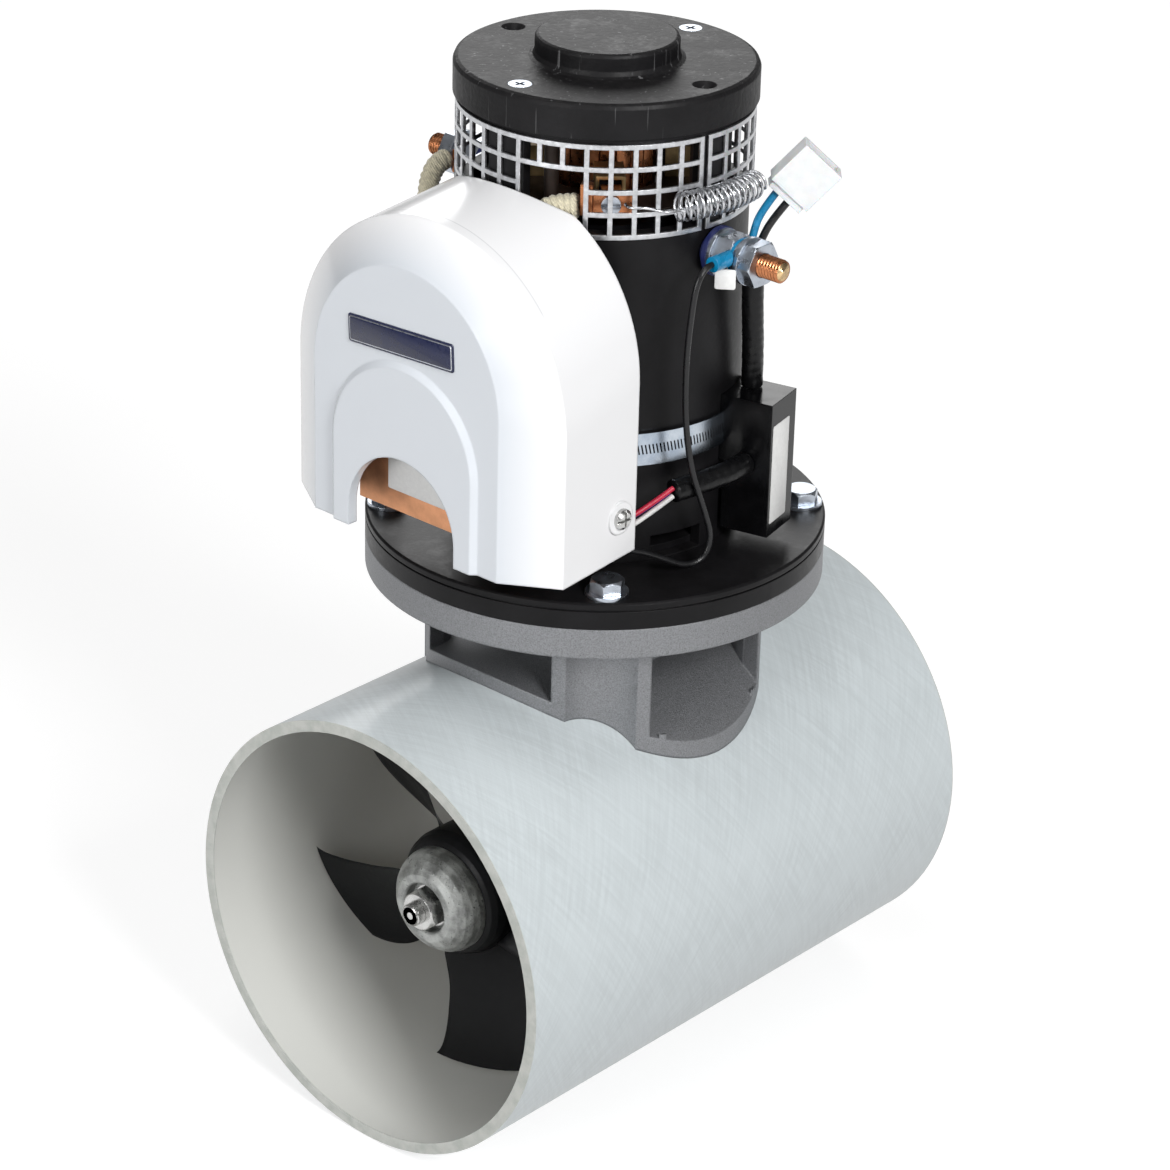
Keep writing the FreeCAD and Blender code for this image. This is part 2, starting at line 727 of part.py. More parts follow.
def make_flange_bolts():
    """Four hexagon bolts with washers through plate and flange."""
    head_seat = plate_top + d.washer_thickness
    bolts = []
    washers = []
    for k, (x, y) in enumerate(flange_bolt_places()):
        head = hexagon(f"BoltHexagon{k}", d.bolt_head_flats, d.bolt_head_height, (x, y, head_seat))
        crown = cone(f"BoltCrown{k}", d.bolt_head_flats * 0.72, d.bolt_head_flats * 0.47,
                     d.bolt_head_height * 0.6, (x, y, head_seat + d.bolt_head_height * 0.4))
        skirt = cylinder(f"BoltSkirt{k}", d.bolt_head_flats * 0.72, d.bolt_head_height * 0.4, (x, y, head_seat))
        shaped = common(f"BoltHead{k}", head, fuse(f"BoltForm{k}", crown, skirt))
        shank = cylinder(f"BoltShank{k}", d.bolt_radius, d.bolt_length, (x, y, head_seat - d.bolt_length))
        bolts.append(fuse(f"Bolt{k}", shaped, shank))
        washers.append(ring(f"Washer{k}", d.washer_radius, d.bolt_radius + d.fit_clearance,
                            d.washer_thickness, (x, y, plate_top)))
    keep("base_bolts", group("BaseBolts", *bolts))
    keep("base_washers", group("BaseWashers", *washers))


# ---------------------------------------------------------------- motor

def sector(name, radius, height, at, middle, span):
    """A wedge of a cylinder centred on an azimuth."""
    return cylinder(name, radius, height, at, "Z", span, middle - float(span) / 2)


def make_motor_body():
    """The steel yoke tube with four brush windows and a foot vent."""
    outer = d.motor_radius
    inner = outer - d.motor_wall
    tube = ring("YokeTube", outer, inner, d.motor_length, (0, 0, plate_top))
    windows = [sector(f"BrushWindow{k}", outer + 5, d.brush_window_height, (0, 0, window_bottom),
                      45 + 90 * k, d.brush_window_angle) for k in range(4)]
    vents = [sector(f"FootVent{k}", outer + 5, d.foot_vent_height, (0, 0, plate_top + 1), middle, 24)
             for k, middle in enumerate((-14, 166))]
    stud_holes = [cylinder(f"YokeStudHole{k}", d.stud_radius + 2.5, 30, (reach, 0, height), "X")
                  for k, (reach, height) in enumerate(((inner - 10, stud_height), (-outer - 10, left_stud_height)))]
    keep("motor_body", cut("MotorBody", tube, *windows, *vents, *stud_holes))


def make_field():
    """Four wound field poles bolted inside the yoke."""
    inner = d.motor_radius - d.motor_wall - d.fit_clearance
    bore = d.armature_radius + d.air_gap
    low = plate_top + 38.6
    length = d.armature_length
    pole_width = 34.0
    coil_width = 56.0
    overhang = 9.0
    poles = []
    coils = []
    for k in range(4):
        turn = Rotation(Vector(0, 0, 1), 45 + 90 * k)
        x, y = polar(pole_width / 2, 45 + 90 * k - 90)
        limit = ring(f"PoleLimit{k}", inner, bore, length, (0, 0, low))
        poles.append(common(f"Pole{k}", limit, box(f"PoleBlock{k}", (x, y, low), (60, pole_width, length), turn)))
        x, y = polar(as_size(coil_width / 2), 45 + 90 * k - 90)
        band = ring(f"CoilLimit{k}", inner - 0.3, bore + 5, length + 2 * overhang, (0, 0, low - overhang))
        outer_block = box(f"CoilBlock{k}", (x, y, low - overhang), (60, coil_width, length + 2 * overhang), turn)
        x, y = polar(as_size(pole_width / 2 + 0.2), 45 + 90 * k - 90)
        core = box(f"CoilCore{k}", (x, y, low - 0.2), (70, pole_width + 0.4, length + 0.4), turn)
        coils.append(cut(f"Coil{k}", common(f"CoilOutline{k}", band, outer_block), core))
    keep("field_poles", group("FieldPoles", *poles))
    keep("field_coils", group("FieldCoils", *coils))


def make_end_cap():
    """The cast cap with its boss, bearing seat and four countersunk holes."""
    spigot = d.motor_radius - d.motor_wall - d.fit_clearance
    edge = d.cap_edge
    cap = turned("CapBody", "Z", [
        (0, motor_top - 4), (spigot, motor_top - 4), (spigot, motor_top), (d.cap_radius, motor_top),
        (d.cap_radius, cap_top - edge), (d.cap_radius - edge * 0.3, cap_top - edge * 0.3),
        (d.cap_radius - edge, cap_top), (d.boss_radius + 2.5, cap_top), (d.boss_radius + 0.7, cap_top + 0.7),
        (d.boss_radius, cap_top + 2.5), (d.boss_radius, boss_top - 1.6), (d.boss_radius - 0.5, boss_top - 0.5),
        (d.boss_radius - 1.6, boss_top), (0, boss_top)])
    tools = [cylinder("CapBearingSeat", d.motor_bearing_radius, d.motor_bearing_width,
                      (0, 0, motor_top - 4)),
             cylinder("CapShaftRelief", d.motor_shaft_radius + 2, 4,
                      (0, 0, motor_top - 4 + d.motor_bearing_width))]
    head_depth = d.cap_screw_head - d.cap_screw_radius
    for k in range(4):
        x, y = polar(d.cap_screw_circle, 90 * k)
        tools.append(cylinder(f"CapDrill{k}", d.cap_screw_radius + d.fit_clearance, 30, (x, y, motor_top - 5)))
        tools.append(cone(f"CapSink{k}", d.cap_screw_radius + d.fit_clearance,
                          d.cap_screw_head + d.fit_clearance, head_depth, (x, y, cap_top - head_depth)))
    keep("end_cap", cut("EndCap", cap, *tools))


def make_cap_screws():
    """Two long countersunk screws from the cap to the plate."""
    depth = d.cap_screw_head - d.cap_screw_radius
    end = plate_bottom + 5
    screws = []
    for k, side in enumerate((1, -1)):
        y = d.cap_screw_circle * side
        head = cone(f"CapScrewHead{k}", d.cap_screw_radius, d.cap_screw_head, depth, (0, y, cap_top - depth))
        shank = cylinder(f"CapScrewShank{k}", d.cap_screw_radius, cap_top - depth - end, (0, y, end))
        slots = [box(f"CapScrewSlot{k}{m}", (-wide / 2, y - deep / 2, cap_top - 1.2), (wide, deep, 2))
                 for m, (wide, deep) in enumerate(((5.0, 1.1), (1.1, 5.0)))]
        screws.append(cut(f"CapScrew{k}", fuse(f"CapScrewBlank{k}", head, shank), *slots))
    keep("cap_screws", group("CapScrews", *screws))


def make_rotor():
    """Motor shaft, laminated armature and commutator."""
    shaft_low = coupling_jaw_top + 0.4
    shaft_high = motor_top - 4 + d.motor_bearing_width
    shaft = turned("ShaftBody", "Z", [
        (0, shaft_low), (d.motor_shaft_radius - 1, shaft_low), (d.motor_shaft_radius, shaft_low + 1),
        (d.motor_shaft_radius, shaft_high - 1), (d.motor_shaft_radius - 1, shaft_high), (0, shaft_high)])
    keep("motor_shaft", shaft)
    bore = d.motor_shaft_radius + d.fit_clearance
    low = plate_top + 38.6
    core = ring("ArmatureCore", d.armature_radius, bore, d.armature_length, (0, 0, low))
    slots = []
    for k in range(16):
        x, y = polar(d.armature_radius - 9, 22.5 * k)
        side_x, side_y = polar(as_size(1.3), 22.5 * k - 90)
        slots.append(box(f"ArmatureSlot{k}", (x + side_x, y + side_y, low - 1), (12, 2.6, d.armature_length + 2),
                         Rotation(Vector(0, 0, 1), 22.5 * k)))
    slotted = cut("ArmatureSlotted", core, *slots)
    ends = [ring(f"ArmatureWinding{k}", d.armature_radius - 2, d.motor_shaft_radius + 6, 10, (0, 0, z))
            for k, z in enumerate((low - 10, low + d.armature_length))]
    keep("armature", fuse("Armature", slotted, *ends))
    segments = ring("CommutatorBody", d.commutator_radius, bore, d.commutator_length, (0, 0, commutator_low))
    gaps = []
    for k in range(20):
        x, y = polar(d.commutator_radius - 2, 18 * k)
        side_x, side_y = polar(as_size(0.35), 18 * k - 90)
        gaps.append(box(f"CommutatorGap{k}", (x + side_x, y + side_y, commutator_low - 1),
                        (5, 0.7, d.commutator_length + 2), Rotation(Vector(0, 0, 1), 18 * k)))
    keep("commutator", cut("Commutator", segments, *gaps))


commutator_low = plate_top + 38.6 + d.armature_length + 12
coupling_jaw_low = d.coupling_bottom + d.coupling_hub
coupling_jaw_top = coupling_jaw_low + d.coupling_jaw


def bearing(name, outer, bore, width, at, along):
    """A shielded ball bearing as one ring with its race grooves showing."""
    body = ring(name + "Races", outer - d.fit_clearance, bore + d.shaft_clearance, width, at, along)
    middle = (float(outer) + float(bore)) / 2
    grooves = []
    for k, shift in enumerate((-0.5, float(width) - 0.5)):
        place = list(at)
        axis = {"Z": 2, "Y": 1}[along]
        place[axis] = as_size(place[axis]) + shift
        grooves.append(ring(f"{name}Groove{k}", outer - (outer - bore) * 0.25, bore + (outer - bore) * 0.25,
                            1, place, along))
    return cut(name, body, *grooves)


def make_bearings():
    """Ball bearings and lip seals of motor and leg."""
    keep("motor_bearings", group(
        "MotorBearings",
        bearing("LowerBearing", d.motor_bearing_radius, d.motor_shaft_radius, d.motor_bearing_width,
                (0, 0, bearing_seat), "Z"),
        bearing("UpperBearing", d.motor_bearing_radius, d.motor_shaft_radius, d.motor_bearing_width,
                (0, 0, motor_top - 4), "Z")))
    front = -d.gearcase_front + 1.5 + d.leg_bearing_width
    keep("leg_bearings", group(
        "LegBearings",
        bearing("FrontBearing", d.leg_bearing_radius, d.prop_shaft_radius, d.leg_bearing_width,
                (0, front + 1, 0), "Y"),
        bearing("RearBearing", d.leg_bearing_radius, d.prop_shaft_radius, d.leg_bearing_width,
                (0, d.gear_chamber_radius + 1, 0), "Y"),
        bearing("PinionBearing", d.pinion_bearing_radius, d.pinion_shaft_radius, d.pinion_bearing_width,
                (0, 0, pinion_seat_bottom), "Z"),
        bearing("InputBearing", d.pinion_bearing_radius, d.pinion_shaft_radius, d.pinion_bearing_width,
                (0, 0, upper_seat_bottom), "Z")))
    keep("shaft_seals", group(
        "ShaftSeals",
        ring("PropSeal", d.leg_bearing_radius - d.fit_clearance, d.prop_shaft_radius + d.shaft_clearance,
             d.leg_bearing_width, (0, -d.gearcase_front + 1, 0), "Y"),
        ring("InputSeal", d.pinion_bearing_radius - d.fit_clearance, d.pinion_shaft_radius + d.shaft_clearance,
             7, (0, 0, upper_seat_bottom + d.pinion_bearing_width + 10))))


def make_brush_gear():
    """Brush ring on four posts, with its holders, brushes and lead bar."""
    low = commutator_low + 6
    thickness = 3.0
    post_circle = d.brush_ring_radius - 5
    disc = ring("BrushDisc", d.brush_ring_radius, d.commutator_radius + 3, thickness, (0, 0, low))
    posts = []
    for k in range(4):
        x, y = polar(post_circle, 90 * k + 12)
        posts.append(cylinder(f"BrushPost{k}", 3, motor_top - 4 - low, (x, y, low)))
    keep("brush_ring", fuse("BrushRing", disc, *posts))
    holders = []
    brushes = []
    width = 12.0
    wall = 1.4
    for k in range(4):
        azimuth = 45 + 90 * k
        turn = Rotation(Vector(0, 0, 1), azimuth)
        start = d.commutator_radius + 3.5
        x, y = polar(start, azimuth)
        side_x, side_y = polar(as_size(width / 2), azimuth - 90)
        shell = box(f"HolderShell{k}", (x + side_x, y + side_y, low + thickness), (18, width, 13), turn)
        x2, y2 = polar(start - 1, azimuth)
        side_x, side_y = polar(as_size(width / 2 - wall), azimuth - 90)
        room = box(f"HolderRoom{k}", (x2 + side_x, y2 + side_y, low + thickness + wall),
                   (20, width - 2 * wall, 13 - 2 * wall), turn)
        holders.append(cut(f"Holder{k}", shell, room))
        x3, y3 = polar(d.commutator_radius + d.contact_gap, azimuth)
        side_x, side_y = polar(as_size(width / 2 - wall - 0.1), azimuth - 90)
        blank = box(f"BrushBlank{k}", (x3 + side_x, y3 + side_y, low + thickness + wall + 0.1),
                    (16, width - 2 * wall - 0.2, 13 - 2 * wall - 0.2), turn)
        room = cylinder(f"BrushRoom{k}", d.commutator_radius + d.contact_gap, 40, (0, 0, low - 2))
        brushes.append(cut(f"Brush{k}", blank, room))
    keep("brush_holders", group("BrushHolders", *holders))
    keep("brushes", group("Brushes", *brushes))


def make_guard_band():
    """The perforated guard band: a thin hoop with a gap and rows of square holes."""
    hoop = ring("BandHoop", band_outer, d.band_radius, band_height, (0, 0, band_bottom))
    columns = int(d.band_columns.value)
    rows = int(d.band_rows.value)
    seam = float(d.band_seam)
    step = (360.0 - seam) / columns
    first = -5.5
    web_angle = math.degrees(float(d.band_web) / float(band_outer))
    strap_columns = range(columns - 8, columns - 5)
    windows = []
    for column in range(columns):
        start = first + step * column + web_angle / 2
        low = 3 if column in strap_columns else 0
        for row_number in range(low, rows):
            z = float(band_bottom + d.band_web + d.band_pitch * row_number)
            windows.append(wedge(float(band_outer) + 1, z, float(d.band_pitch - d.band_web),
                                 start, step - web_angle))
    gap = wedge(float(band_outer) + 1, float(band_bottom) - 1, float(band_height) + 2,
                first - seam + web_angle / 2, seam - web_angle)
    strap_start = first + step * strap_columns[0] + web_angle / 2
    strap_span = step * len(strap_columns) - web_angle
    opening = wedge(float(band_outer) + 1, float(band_bottom) - 1, float(d.band_pitch * 3 + 1), strap_start, strap_span)
    tools = feature("BandWindows", Part.makeCompound(windows + [gap, opening]))
    stud_room = cylinder("BandStudRoom", insulator_neck + 0.5, 30, (-band_outer - 10, 0, left_stud_height), "X")
    keep("mesh_band", cut("MeshBand", hoop, tools, stud_room))


def wedge(radius, low, height, start, span):
    """A thin upright wedge that reaches through the band."""
    return Part.makeCylinder(radius, height, Vector(0, 0, low), Vector(0, 0, 1), span).rotated(
        Vector(), Vector(0, 0, 1), start)


def make_spring():
    """The tension spring that follows the band and hooks into its openings."""
    reach = float(band_outer + d.spring_radius + d.spring_wire / 2 + d.contact_gap)
    height = float(band_bottom + d.band_pitch * 1.5 + 0.5)
    coil = float(d.spring_radius)
    turns = float(d.spring_turns)
    first = -22.9
    span = math.degrees(turns * float(d.spring_pitch) / reach)
    samples = 12
    points = []
    for radius, azimuth, z in ((59.4, -40.2, 0), (61.0, -40.2, 0), (63.4, -39.2, 0), (65.5, -33.2, 0), (67.5, -26.2, -1.5)):
        points.append(Vector(radius, 0, height + z))
        points[-1] = Rotation(Vector(0, 0, 1), azimuth).multVec(points[-1])
    for i in range(int(turns * samples) + 1):
        angle = 2 * math.pi * i / samples
        place = Vector(reach + coil * math.cos(angle), 0, height - coil * math.sin(angle))
        points.append(Rotation(Vector(0, 0, 1), first + span * i / (turns * samples)).multVec(place))
    for radius, azimuth, z in ((67.5, 18.4, -1.5), (63.4, 23.4, 0), (61.0, 24.6, 0), (59.4, 24.6, 0)):
        place = Vector(radius, 0, height + z)
        points.append(Rotation(Vector(0, 0, 1), azimuth).multVec(place))
    curve = Part.BSplineCurve()
    curve.interpolate(points)
    path = Part.Wire([curve.toShape()])
    ahead = points[1] - points[0]
    section = Part.Wire([Part.Circle(points[0], ahead, float(d.spring_wire) / 2).toShape()])
    keep("band_spring", feature("BandSpring", path.makePipeShell([section], True, True)))


# ---------------------------------------------------------------- terminals

def make_terminals():
    """Two copper studs with their insulators, washers and nuts."""
    studs = []
    insulators = []
    washers = []
    nuts = []
    inner_end = 47.0
    bore = d.stud_radius + d.fit_clearance
    seat = insulator_seat + d.insulator_thickness
    for k, (side, height) in enumerate(((1, stud_height), (-1, left_stud_height))):
        def along_x(name, radius, low, length, hole=None):
            start = low if side > 0 else -(low + length)
            solid = cylinder(f"{name}{k}", radius, length, (start, 0, height), "X")
            if hole is None:
                return solid
            return cut(f"{name}Bored{k}", solid, cylinder(f"{name}Hole{k}", hole, length, (start, 0, height), "X"))

        free_end = jam_seat + d.jam_nut_height + 0.5
        studs.append(fuse(f"TerminalStud{k}",
                          along_x("Stud", d.stud_radius - d.stud_relief, as_size(inner_end), free_end - inner_end),
                          along_x("StudEnd", d.stud_radius, free_end, d.stud_reach - free_end)))
        neck = cut(f"InsulatorShoulder{k}", along_x("InsulatorNeck", insulator_neck, as_size(50), seat - 50),
                   cylinder(f"InsulatorSeat{k}", d.motor_radius + d.fit_clearance, 40, (0, 0, height - 20)))
        flange = fuse(f"InsulatorBlank{k}",
                      along_x("InsulatorBush", d.stud_radius + 2.45, as_size(52), seat - 52),
                      along_x("InsulatorDisc", d.insulator_radius, insulator_seat, d.insulator_thickness), neck)
        insulators.append(cut(f"Insulator{k}", flange, along_x("InsulatorBore", bore, as_size(40), as_size(40))))
        washers.append(along_x("StudWasherIn", d.stud_washer_radius, seat, d.stud_washer_thickness, bore))
        washers.append(along_x("StudSpringWasher", d.spring_washer_radius, ring_seat + d.ring_thickness,
                               d.spring_washer_thickness, bore))
        washers.append(along_x("StudWasherOut", d.stud_washer_radius, jam_seat - d.stud_washer_thickness,
                               d.stud_washer_thickness, bore))
        for m, (low, tall) in enumerate(((seat + d.stud_washer_thickness, d.stud_nut_height),
                                         (jam_seat, d.jam_nut_height))):
            start = low if side > 0 else -(low + tall)
            blank = common(f"StudNutBlank{k}{m}",
                           hexagon(f"StudNutHex{k}{m}", d.stud_nut_flats, tall, (start, 0, height), "X", 30),
                           chamfer_limit(f"StudNutLimit{k}{m}", d.stud_nut_flats, tall, (start, 0, height)))
            bore_tool = cylinder(f"StudNutBore{k}{m}", bore, tall, (start, 0, height), "X")
            nuts.append(cut(f"StudNut{k}{m}", blank, bore_tool))
    keep("terminal_studs", group("TerminalStuds", *studs))
    keep("stud_insulators", group("StudInsulators", *insulators))
    keep("stud_washers", group("StudWashers", *washers))
    keep("stud_nuts", group("StudNuts", *nuts))


def chamfer_limit(name, flats, height, at):
    """A barrel that takes the corners off both faces of a nut along X."""
    x, y, z = at
    corner = flats / 2 * 1.155
    edge = as_size(0.9)
    return fuse(name, cone(name + "Low", corner - edge, corner, edge / 2, (x, y, z), "X"),
                cylinder(name + "Mid", corner, height - edge, (x + edge / 2, y, z), "X"),
                cone(name + "High", corner, corner - edge, edge / 2, (x + height - edge / 2, y, z), "X"))


def make_ring_terminal():
    """The crimped ring terminal of the loop wire on the right stud."""
    low = ring_seat
    plate = cylinder("RingPlate", 8.5, d.ring_thickness, (low, 0, stud_height), "X")
    tongue = box("RingTongue", (low, -14.0, stud_height - 0.5), (d.ring_thickness, 10, 6))
    barrel = cylinder("RingBarrel", 3.2, 11, (low + 0.8, -19.0, stud_height + 2.5), "Y")
    notch = hexagon("RingNutRoom", d.stud_nut_flats + 0.4, 40, (low - 30, 0, stud_height), "X", 30)
    washer_room = cylinder("RingWasherRoom", d.stud_washer_radius + 0.3, 20, (low + d.ring_thickness, 0, stud_height), "X")
    barrel = cut("RingBarrelTrimmed", barrel, notch, washer_room)
    bore = cylinder("RingBore", d.stud_radius + d.fit_clearance, 3, (low - 1, 0, stud_height), "X")
    keep("ring_terminal", cut("RingTerminal", fuse("RingBlank", plate, tongue, barrel), bore))


def make_copper():
    """The brush-lead bar behind the guard band and the strap lugs."""
    z = float(band_bottom) + 8
    reach = float(d.motor_radius - d.motor_wall) - 1
    bar = Part.makeCylinder(reach, 9, Vector(0, 0, z), Vector(0, 0, 1), 17).cut(
        Part.makeCylinder(reach - 2, 9, Vector(0, 0, z), Vector(0, 0, 1)))
    bar.rotate(Vector(), Vector(0, 0, 1), -53)
    post = Part.makeBox(10, 8, 9, Vector(43, -4, z)).rotated(Vector(), Vector(0, 0, 1), -45)
    trim = Part.makeCylinder(53, 9, Vector(0, 0, z))
    screw_hole = Part.makeCylinder(2.05, 14, Vector(42, 0, z + 4.5), Vector(1, 0, 0)).rotated(
        Vector(), Vector(0, 0, 1), -45.5)
    brush_bar = feature("BrushLeadBar", bar.fuse(post.common(trim)).cut(screw_hole))
    inner = feature("BrushLeadLug", Part.makeCylinder(reach + 2, 13, Vector(0, 0, z), Vector(0, 0, 1), 5).cut(
        Part.makeCylinder(reach - 4, 13, Vector(0, 0, z), Vector(0, 0, 1))), (0, 0, 0),
        Rotation(Vector(0, 0, 1), -58.2))
    thick = float(d.ring_thickness)
    eye = Part.makeCylinder(8, thick).fuse(Part.makeBox(10.5, 10, thick, Vector(-10.5, -5, 0)))
    stud_lug = feature("StudLug", eye.cut(Part.makeCylinder(float(d.stud_radius) + 0.05, thick)),
                       (-float(ring_seat), 0, float(left_stud_height)),
                       Rotation(Matrix(0, 0, -1, 0, 1, 0, 0, 0, 0, -1, 0, 0, 0, 0, 0, 1)))
    keep("copper_lugs", group("CopperLugs", brush_bar, inner, stud_lug))


def make_lead_screw():
    """The screw that holds the brush lead to its block."""
    z = float(band_bottom) + 12.5
    head = Part.makeCylinder(4, 1.8, Vector(54, 0, z), Vector(1, 0, 0))
    shank = Part.makeCylinder(2, 8, Vector(46, 0, z), Vector(1, 0, 0))
    slot = Part.makeBox(1, 8, 1, Vector(55, -4, z - 0.5))
    keep("lead_screw", feature("LeadScrew", head.fuse(shank).cut(slot), (0, 0, 0), Rotation(Vector(0, 0, 1), -45.5)))


# ---------------------------------------------------------------- clamp and relay

def make_clamp():
    """The worm-drive band round the motor."""
    band = ring("ClampBand", clamp_outer, clamp_inner, d.clamp_width, (0, 0, clamp_bottom))
    turn = Rotation(Vector(0, 0, 1), 150)
    x, y = polar(clamp_outer - 1.0, 150)
    side_x, side_y = polar(as_size(9.0), 60)
    housing = box("ClampHousing", (x + side_x, y + side_y, clamp_bottom), (8, 18, d.clamp_width), turn)
    trim = cut("ClampHousingSeat", housing, cylinder("ClampTrim", clamp_inner + 0.2, 40, (0, 0, clamp_bottom - 10)))
    x, y = polar(clamp_outer + 3, 150)
    side_x, side_y = polar(as_size(14.0), 60)
    screw = doc.addObject("Part::Cylinder", "ClampScrew")
    set_size(screw, "Radius", as_size(3.5))
    set_size(screw, "Height", as_size(28))
    put(screw, (x + side_x, y + side_y, d.clamp_height), turn.multiply(TURN["Y"]))
    keep("hose_clamp", fuse("HoseClamp", band, trim, screw))


def motor_seat(name):
    """A cylinder the size of the motor plus clearance, for seats that hug it."""
    return cylinder(name, d.motor_radius + d.fit_clearance, 400)


def band_slot(name):
    """The slot through which the clamp band passes."""
    return ring(name, clamp_outer + d.fit_clearance, clamp_inner - d.fit_clearance, d.clamp_width + 0.1,
                (0, 0, clamp_bottom - 0.05))


def make_relay():
    """The sealed relay box held on the motor by the clamp band."""
    turn = Rotation(Vector(0, 0, 1), float(d.relay_azimuth))
    back = d.clamp_standoff + d.motor_radius + 0.7

    def placed(radial, tangential, z):
        along = polar(radial, d.relay_azimuth)
        across = polar(tangential, d.relay_azimuth + 90)
        return (along[0] + across[0], along[1] + across[1], z)

    low = d.relay_offset - d.relay_width / 2
    case = box("RelayCase", placed(back, low, d.relay_bottom), (d.relay_depth, d.relay_width, d.relay_height), turn)
    foot = box("RelayFoot", placed(as_size(50.0), low, clamp_bottom - 8),
               (back - 50 + 1, d.relay_width, d.relay_bottom + d.relay_height - clamp_bottom + 8), turn)
    blank = fuse("RelayBlank", case, foot)
    keep("relay_box", cut("RelayBox", blank, motor_seat("RelaySeat"), band_slot("RelaySlot")))


# ---------------------------------------------------------------- contactor and cover

def make_bracket():
    """The folded bracket that carries the contactor and takes the cover screws."""
    front = -d.contactor_back
    sheet_part = d.bracket_plate
    ear = d.cover_screw_height
    reach = as_size(67.6)
    plate = box("BracketPlate", (-d.contactor_half, front, d.contactor_bottom),
                (d.contactor_half * 2, sheet_part, d.contactor_frame_height))
    arms = box("BracketArms", (-reach, front, ear - 8), (reach * 2, sheet_part, 16))
    foot = box("BracketFoot", (-15.0, front, clamp_bottom - 10), (30, 20, d.clamp_width + 20))
    ears = [box(f"BracketEar{k}", (x, -d.cover_screw_setback - 7, ear - 8), (sheet_part, 14, 16))
            for k, x in enumerate((reach - sheet_part, -reach))]
    drill = cylinder("BracketDrill", d.cover_screw_radius + d.fit_clearance, 160,
                     (-80.0, -d.cover_screw_setback, ear), "X")
    drill_keep = box("BracketDrillKeep", (-60.0, -80.0, ear - 10), (120, 30, 20))
    blank = fuse("BracketBlank", plate, arms, foot, *ears)
    keep("contactor_bracket", cut("ContactorBracket", blank, motor_seat("BracketSeat"),
                                  band_slot("BracketSlot"), cut("BracketDrills", drill, drill_keep)))


def make_frame():
    """The folded steel frame of the contactor pair."""
    sheet_part = d.contactor_sheet
    half = d.contactor_half
    depth = d.contactor_depth
    front = -contactor_front
    plate = box("FrameFront", (-half, front, d.contactor_bottom), (half * 2, sheet_part, d.contactor_frame_height))
    lip = box("FrameLip", (-half, front, d.contactor_bottom), (half * 2, depth, sheet_part))
    top = box("FrameTop", (-half, front, frame_top - sheet_part), (half * 2, depth, sheet_part))
    holes_up = [cylinder(f"FramePlungerHole{k}", d.plunger_radius + 0.6, 20,
                         (d.coil_spacing / 2 * side, coil_setback, frame_top - 10))
                for k, side in enumerate((-1, 1))]
    keep("contactor_frame", cut("ContactorFrame", fuse("FrameBlank", plate, lip, top), *holes_up))


coil_setback = -(d.contactor_back + contactor_front) / 2


def make_coils():
    """Two wound bobbins inside the frame."""
    sheet_part = d.contactor_sheet
    low = d.contactor_bottom + sheet_part
    high = frame_top - sheet_part
    bobbins = []
    for k, side in enumerate((-1, 1)):
        x = d.coil_spacing / 2 * side
        body = cylinder(f"CoilWinding{k}", d.coil_radius - 1.5, high - low, (x, coil_setback, low))
        ends = [cylinder(f"CoilFlange{k}{m}", d.coil_radius, 2, (x, coil_setback, z))
                for m, z in enumerate((low, high - 2))]
        bore = cylinder(f"CoilBore{k}", d.plunger_radius + 0.6, 60, (x, coil_setback, low + 4))
        bobbins.append(cut(f"Bobbin{k}", fuse(f"BobbinBlank{k}", body, *ends), bore))
    keep("contactor_coils", group("ContactorCoils", *bobbins))


bridge_low = frame_top + 9
lower_contact = bridge_low - d.plunger_travel - d.contact_gap
upper_contact = bridge_low + 3 + d.contact_gap


def make_plungers():
    """Two plungers, each carrying its contact bridge."""
    for side, label in ((-1, "plunger_left"), (1, "plunger_right")):
        x = d.coil_spacing / 2 * side
        rod = cylinder(f"Rod{label}", d.plunger_radius, bridge_low - 192, (x, coil_setback, 192.0))
        bridge = box(f"Bridge{label}", (x - 4, coil_setback - 10, bridge_low), (8, 20, 3))
        pads = [cylinder(f"Pad{label}{k}", 2.5, 3, (x, coil_setback + shift, bridge_low))
                for k, shift in enumerate((-7.5, 7.5))]
        keep(label, fuse(f"Assembly{label}", rod, bridge, *pads))


def contact_bars():
    """The six bent copper bars: low corner and size of each run."""
    sheet_part = 2.0
    front = float(coil_setback) - 11.75
    back = float(coil_setback) + 5.35
    low = float(lower_contact) - sheet_part
    up = float(upper_contact)
    top = float(frame_top) + 41
    bars = []
    for side in (-1, 1):
        middle = 20.5 * side
        bars.append([((middle - 5, front, up), (10, 7, sheet_part)),
                     ((middle - 5, front, up), (10, sheet_part, top - up))])
        edge = 34.0 * side - (0 if side > 0 else sheet_part)
        inner = min(16.5 * side, 36.0 * side)
        bars.append([((inner, front, low), (19.5, 6.4, sheet_part)),
                     ((edge, front, low), (sheet_part, 6.4, top + 6 - low))])
    bars.append([((-25, back, up), (50, 7.5, sheet_part)), ((-6, back + 5.5, up), (12, sheet_part, top - up))])
    bars.append([((-25, back, low), (57, 7, sheet_part)), ((30, back, low), (sheet_part, 7, top - low))])
    return bars


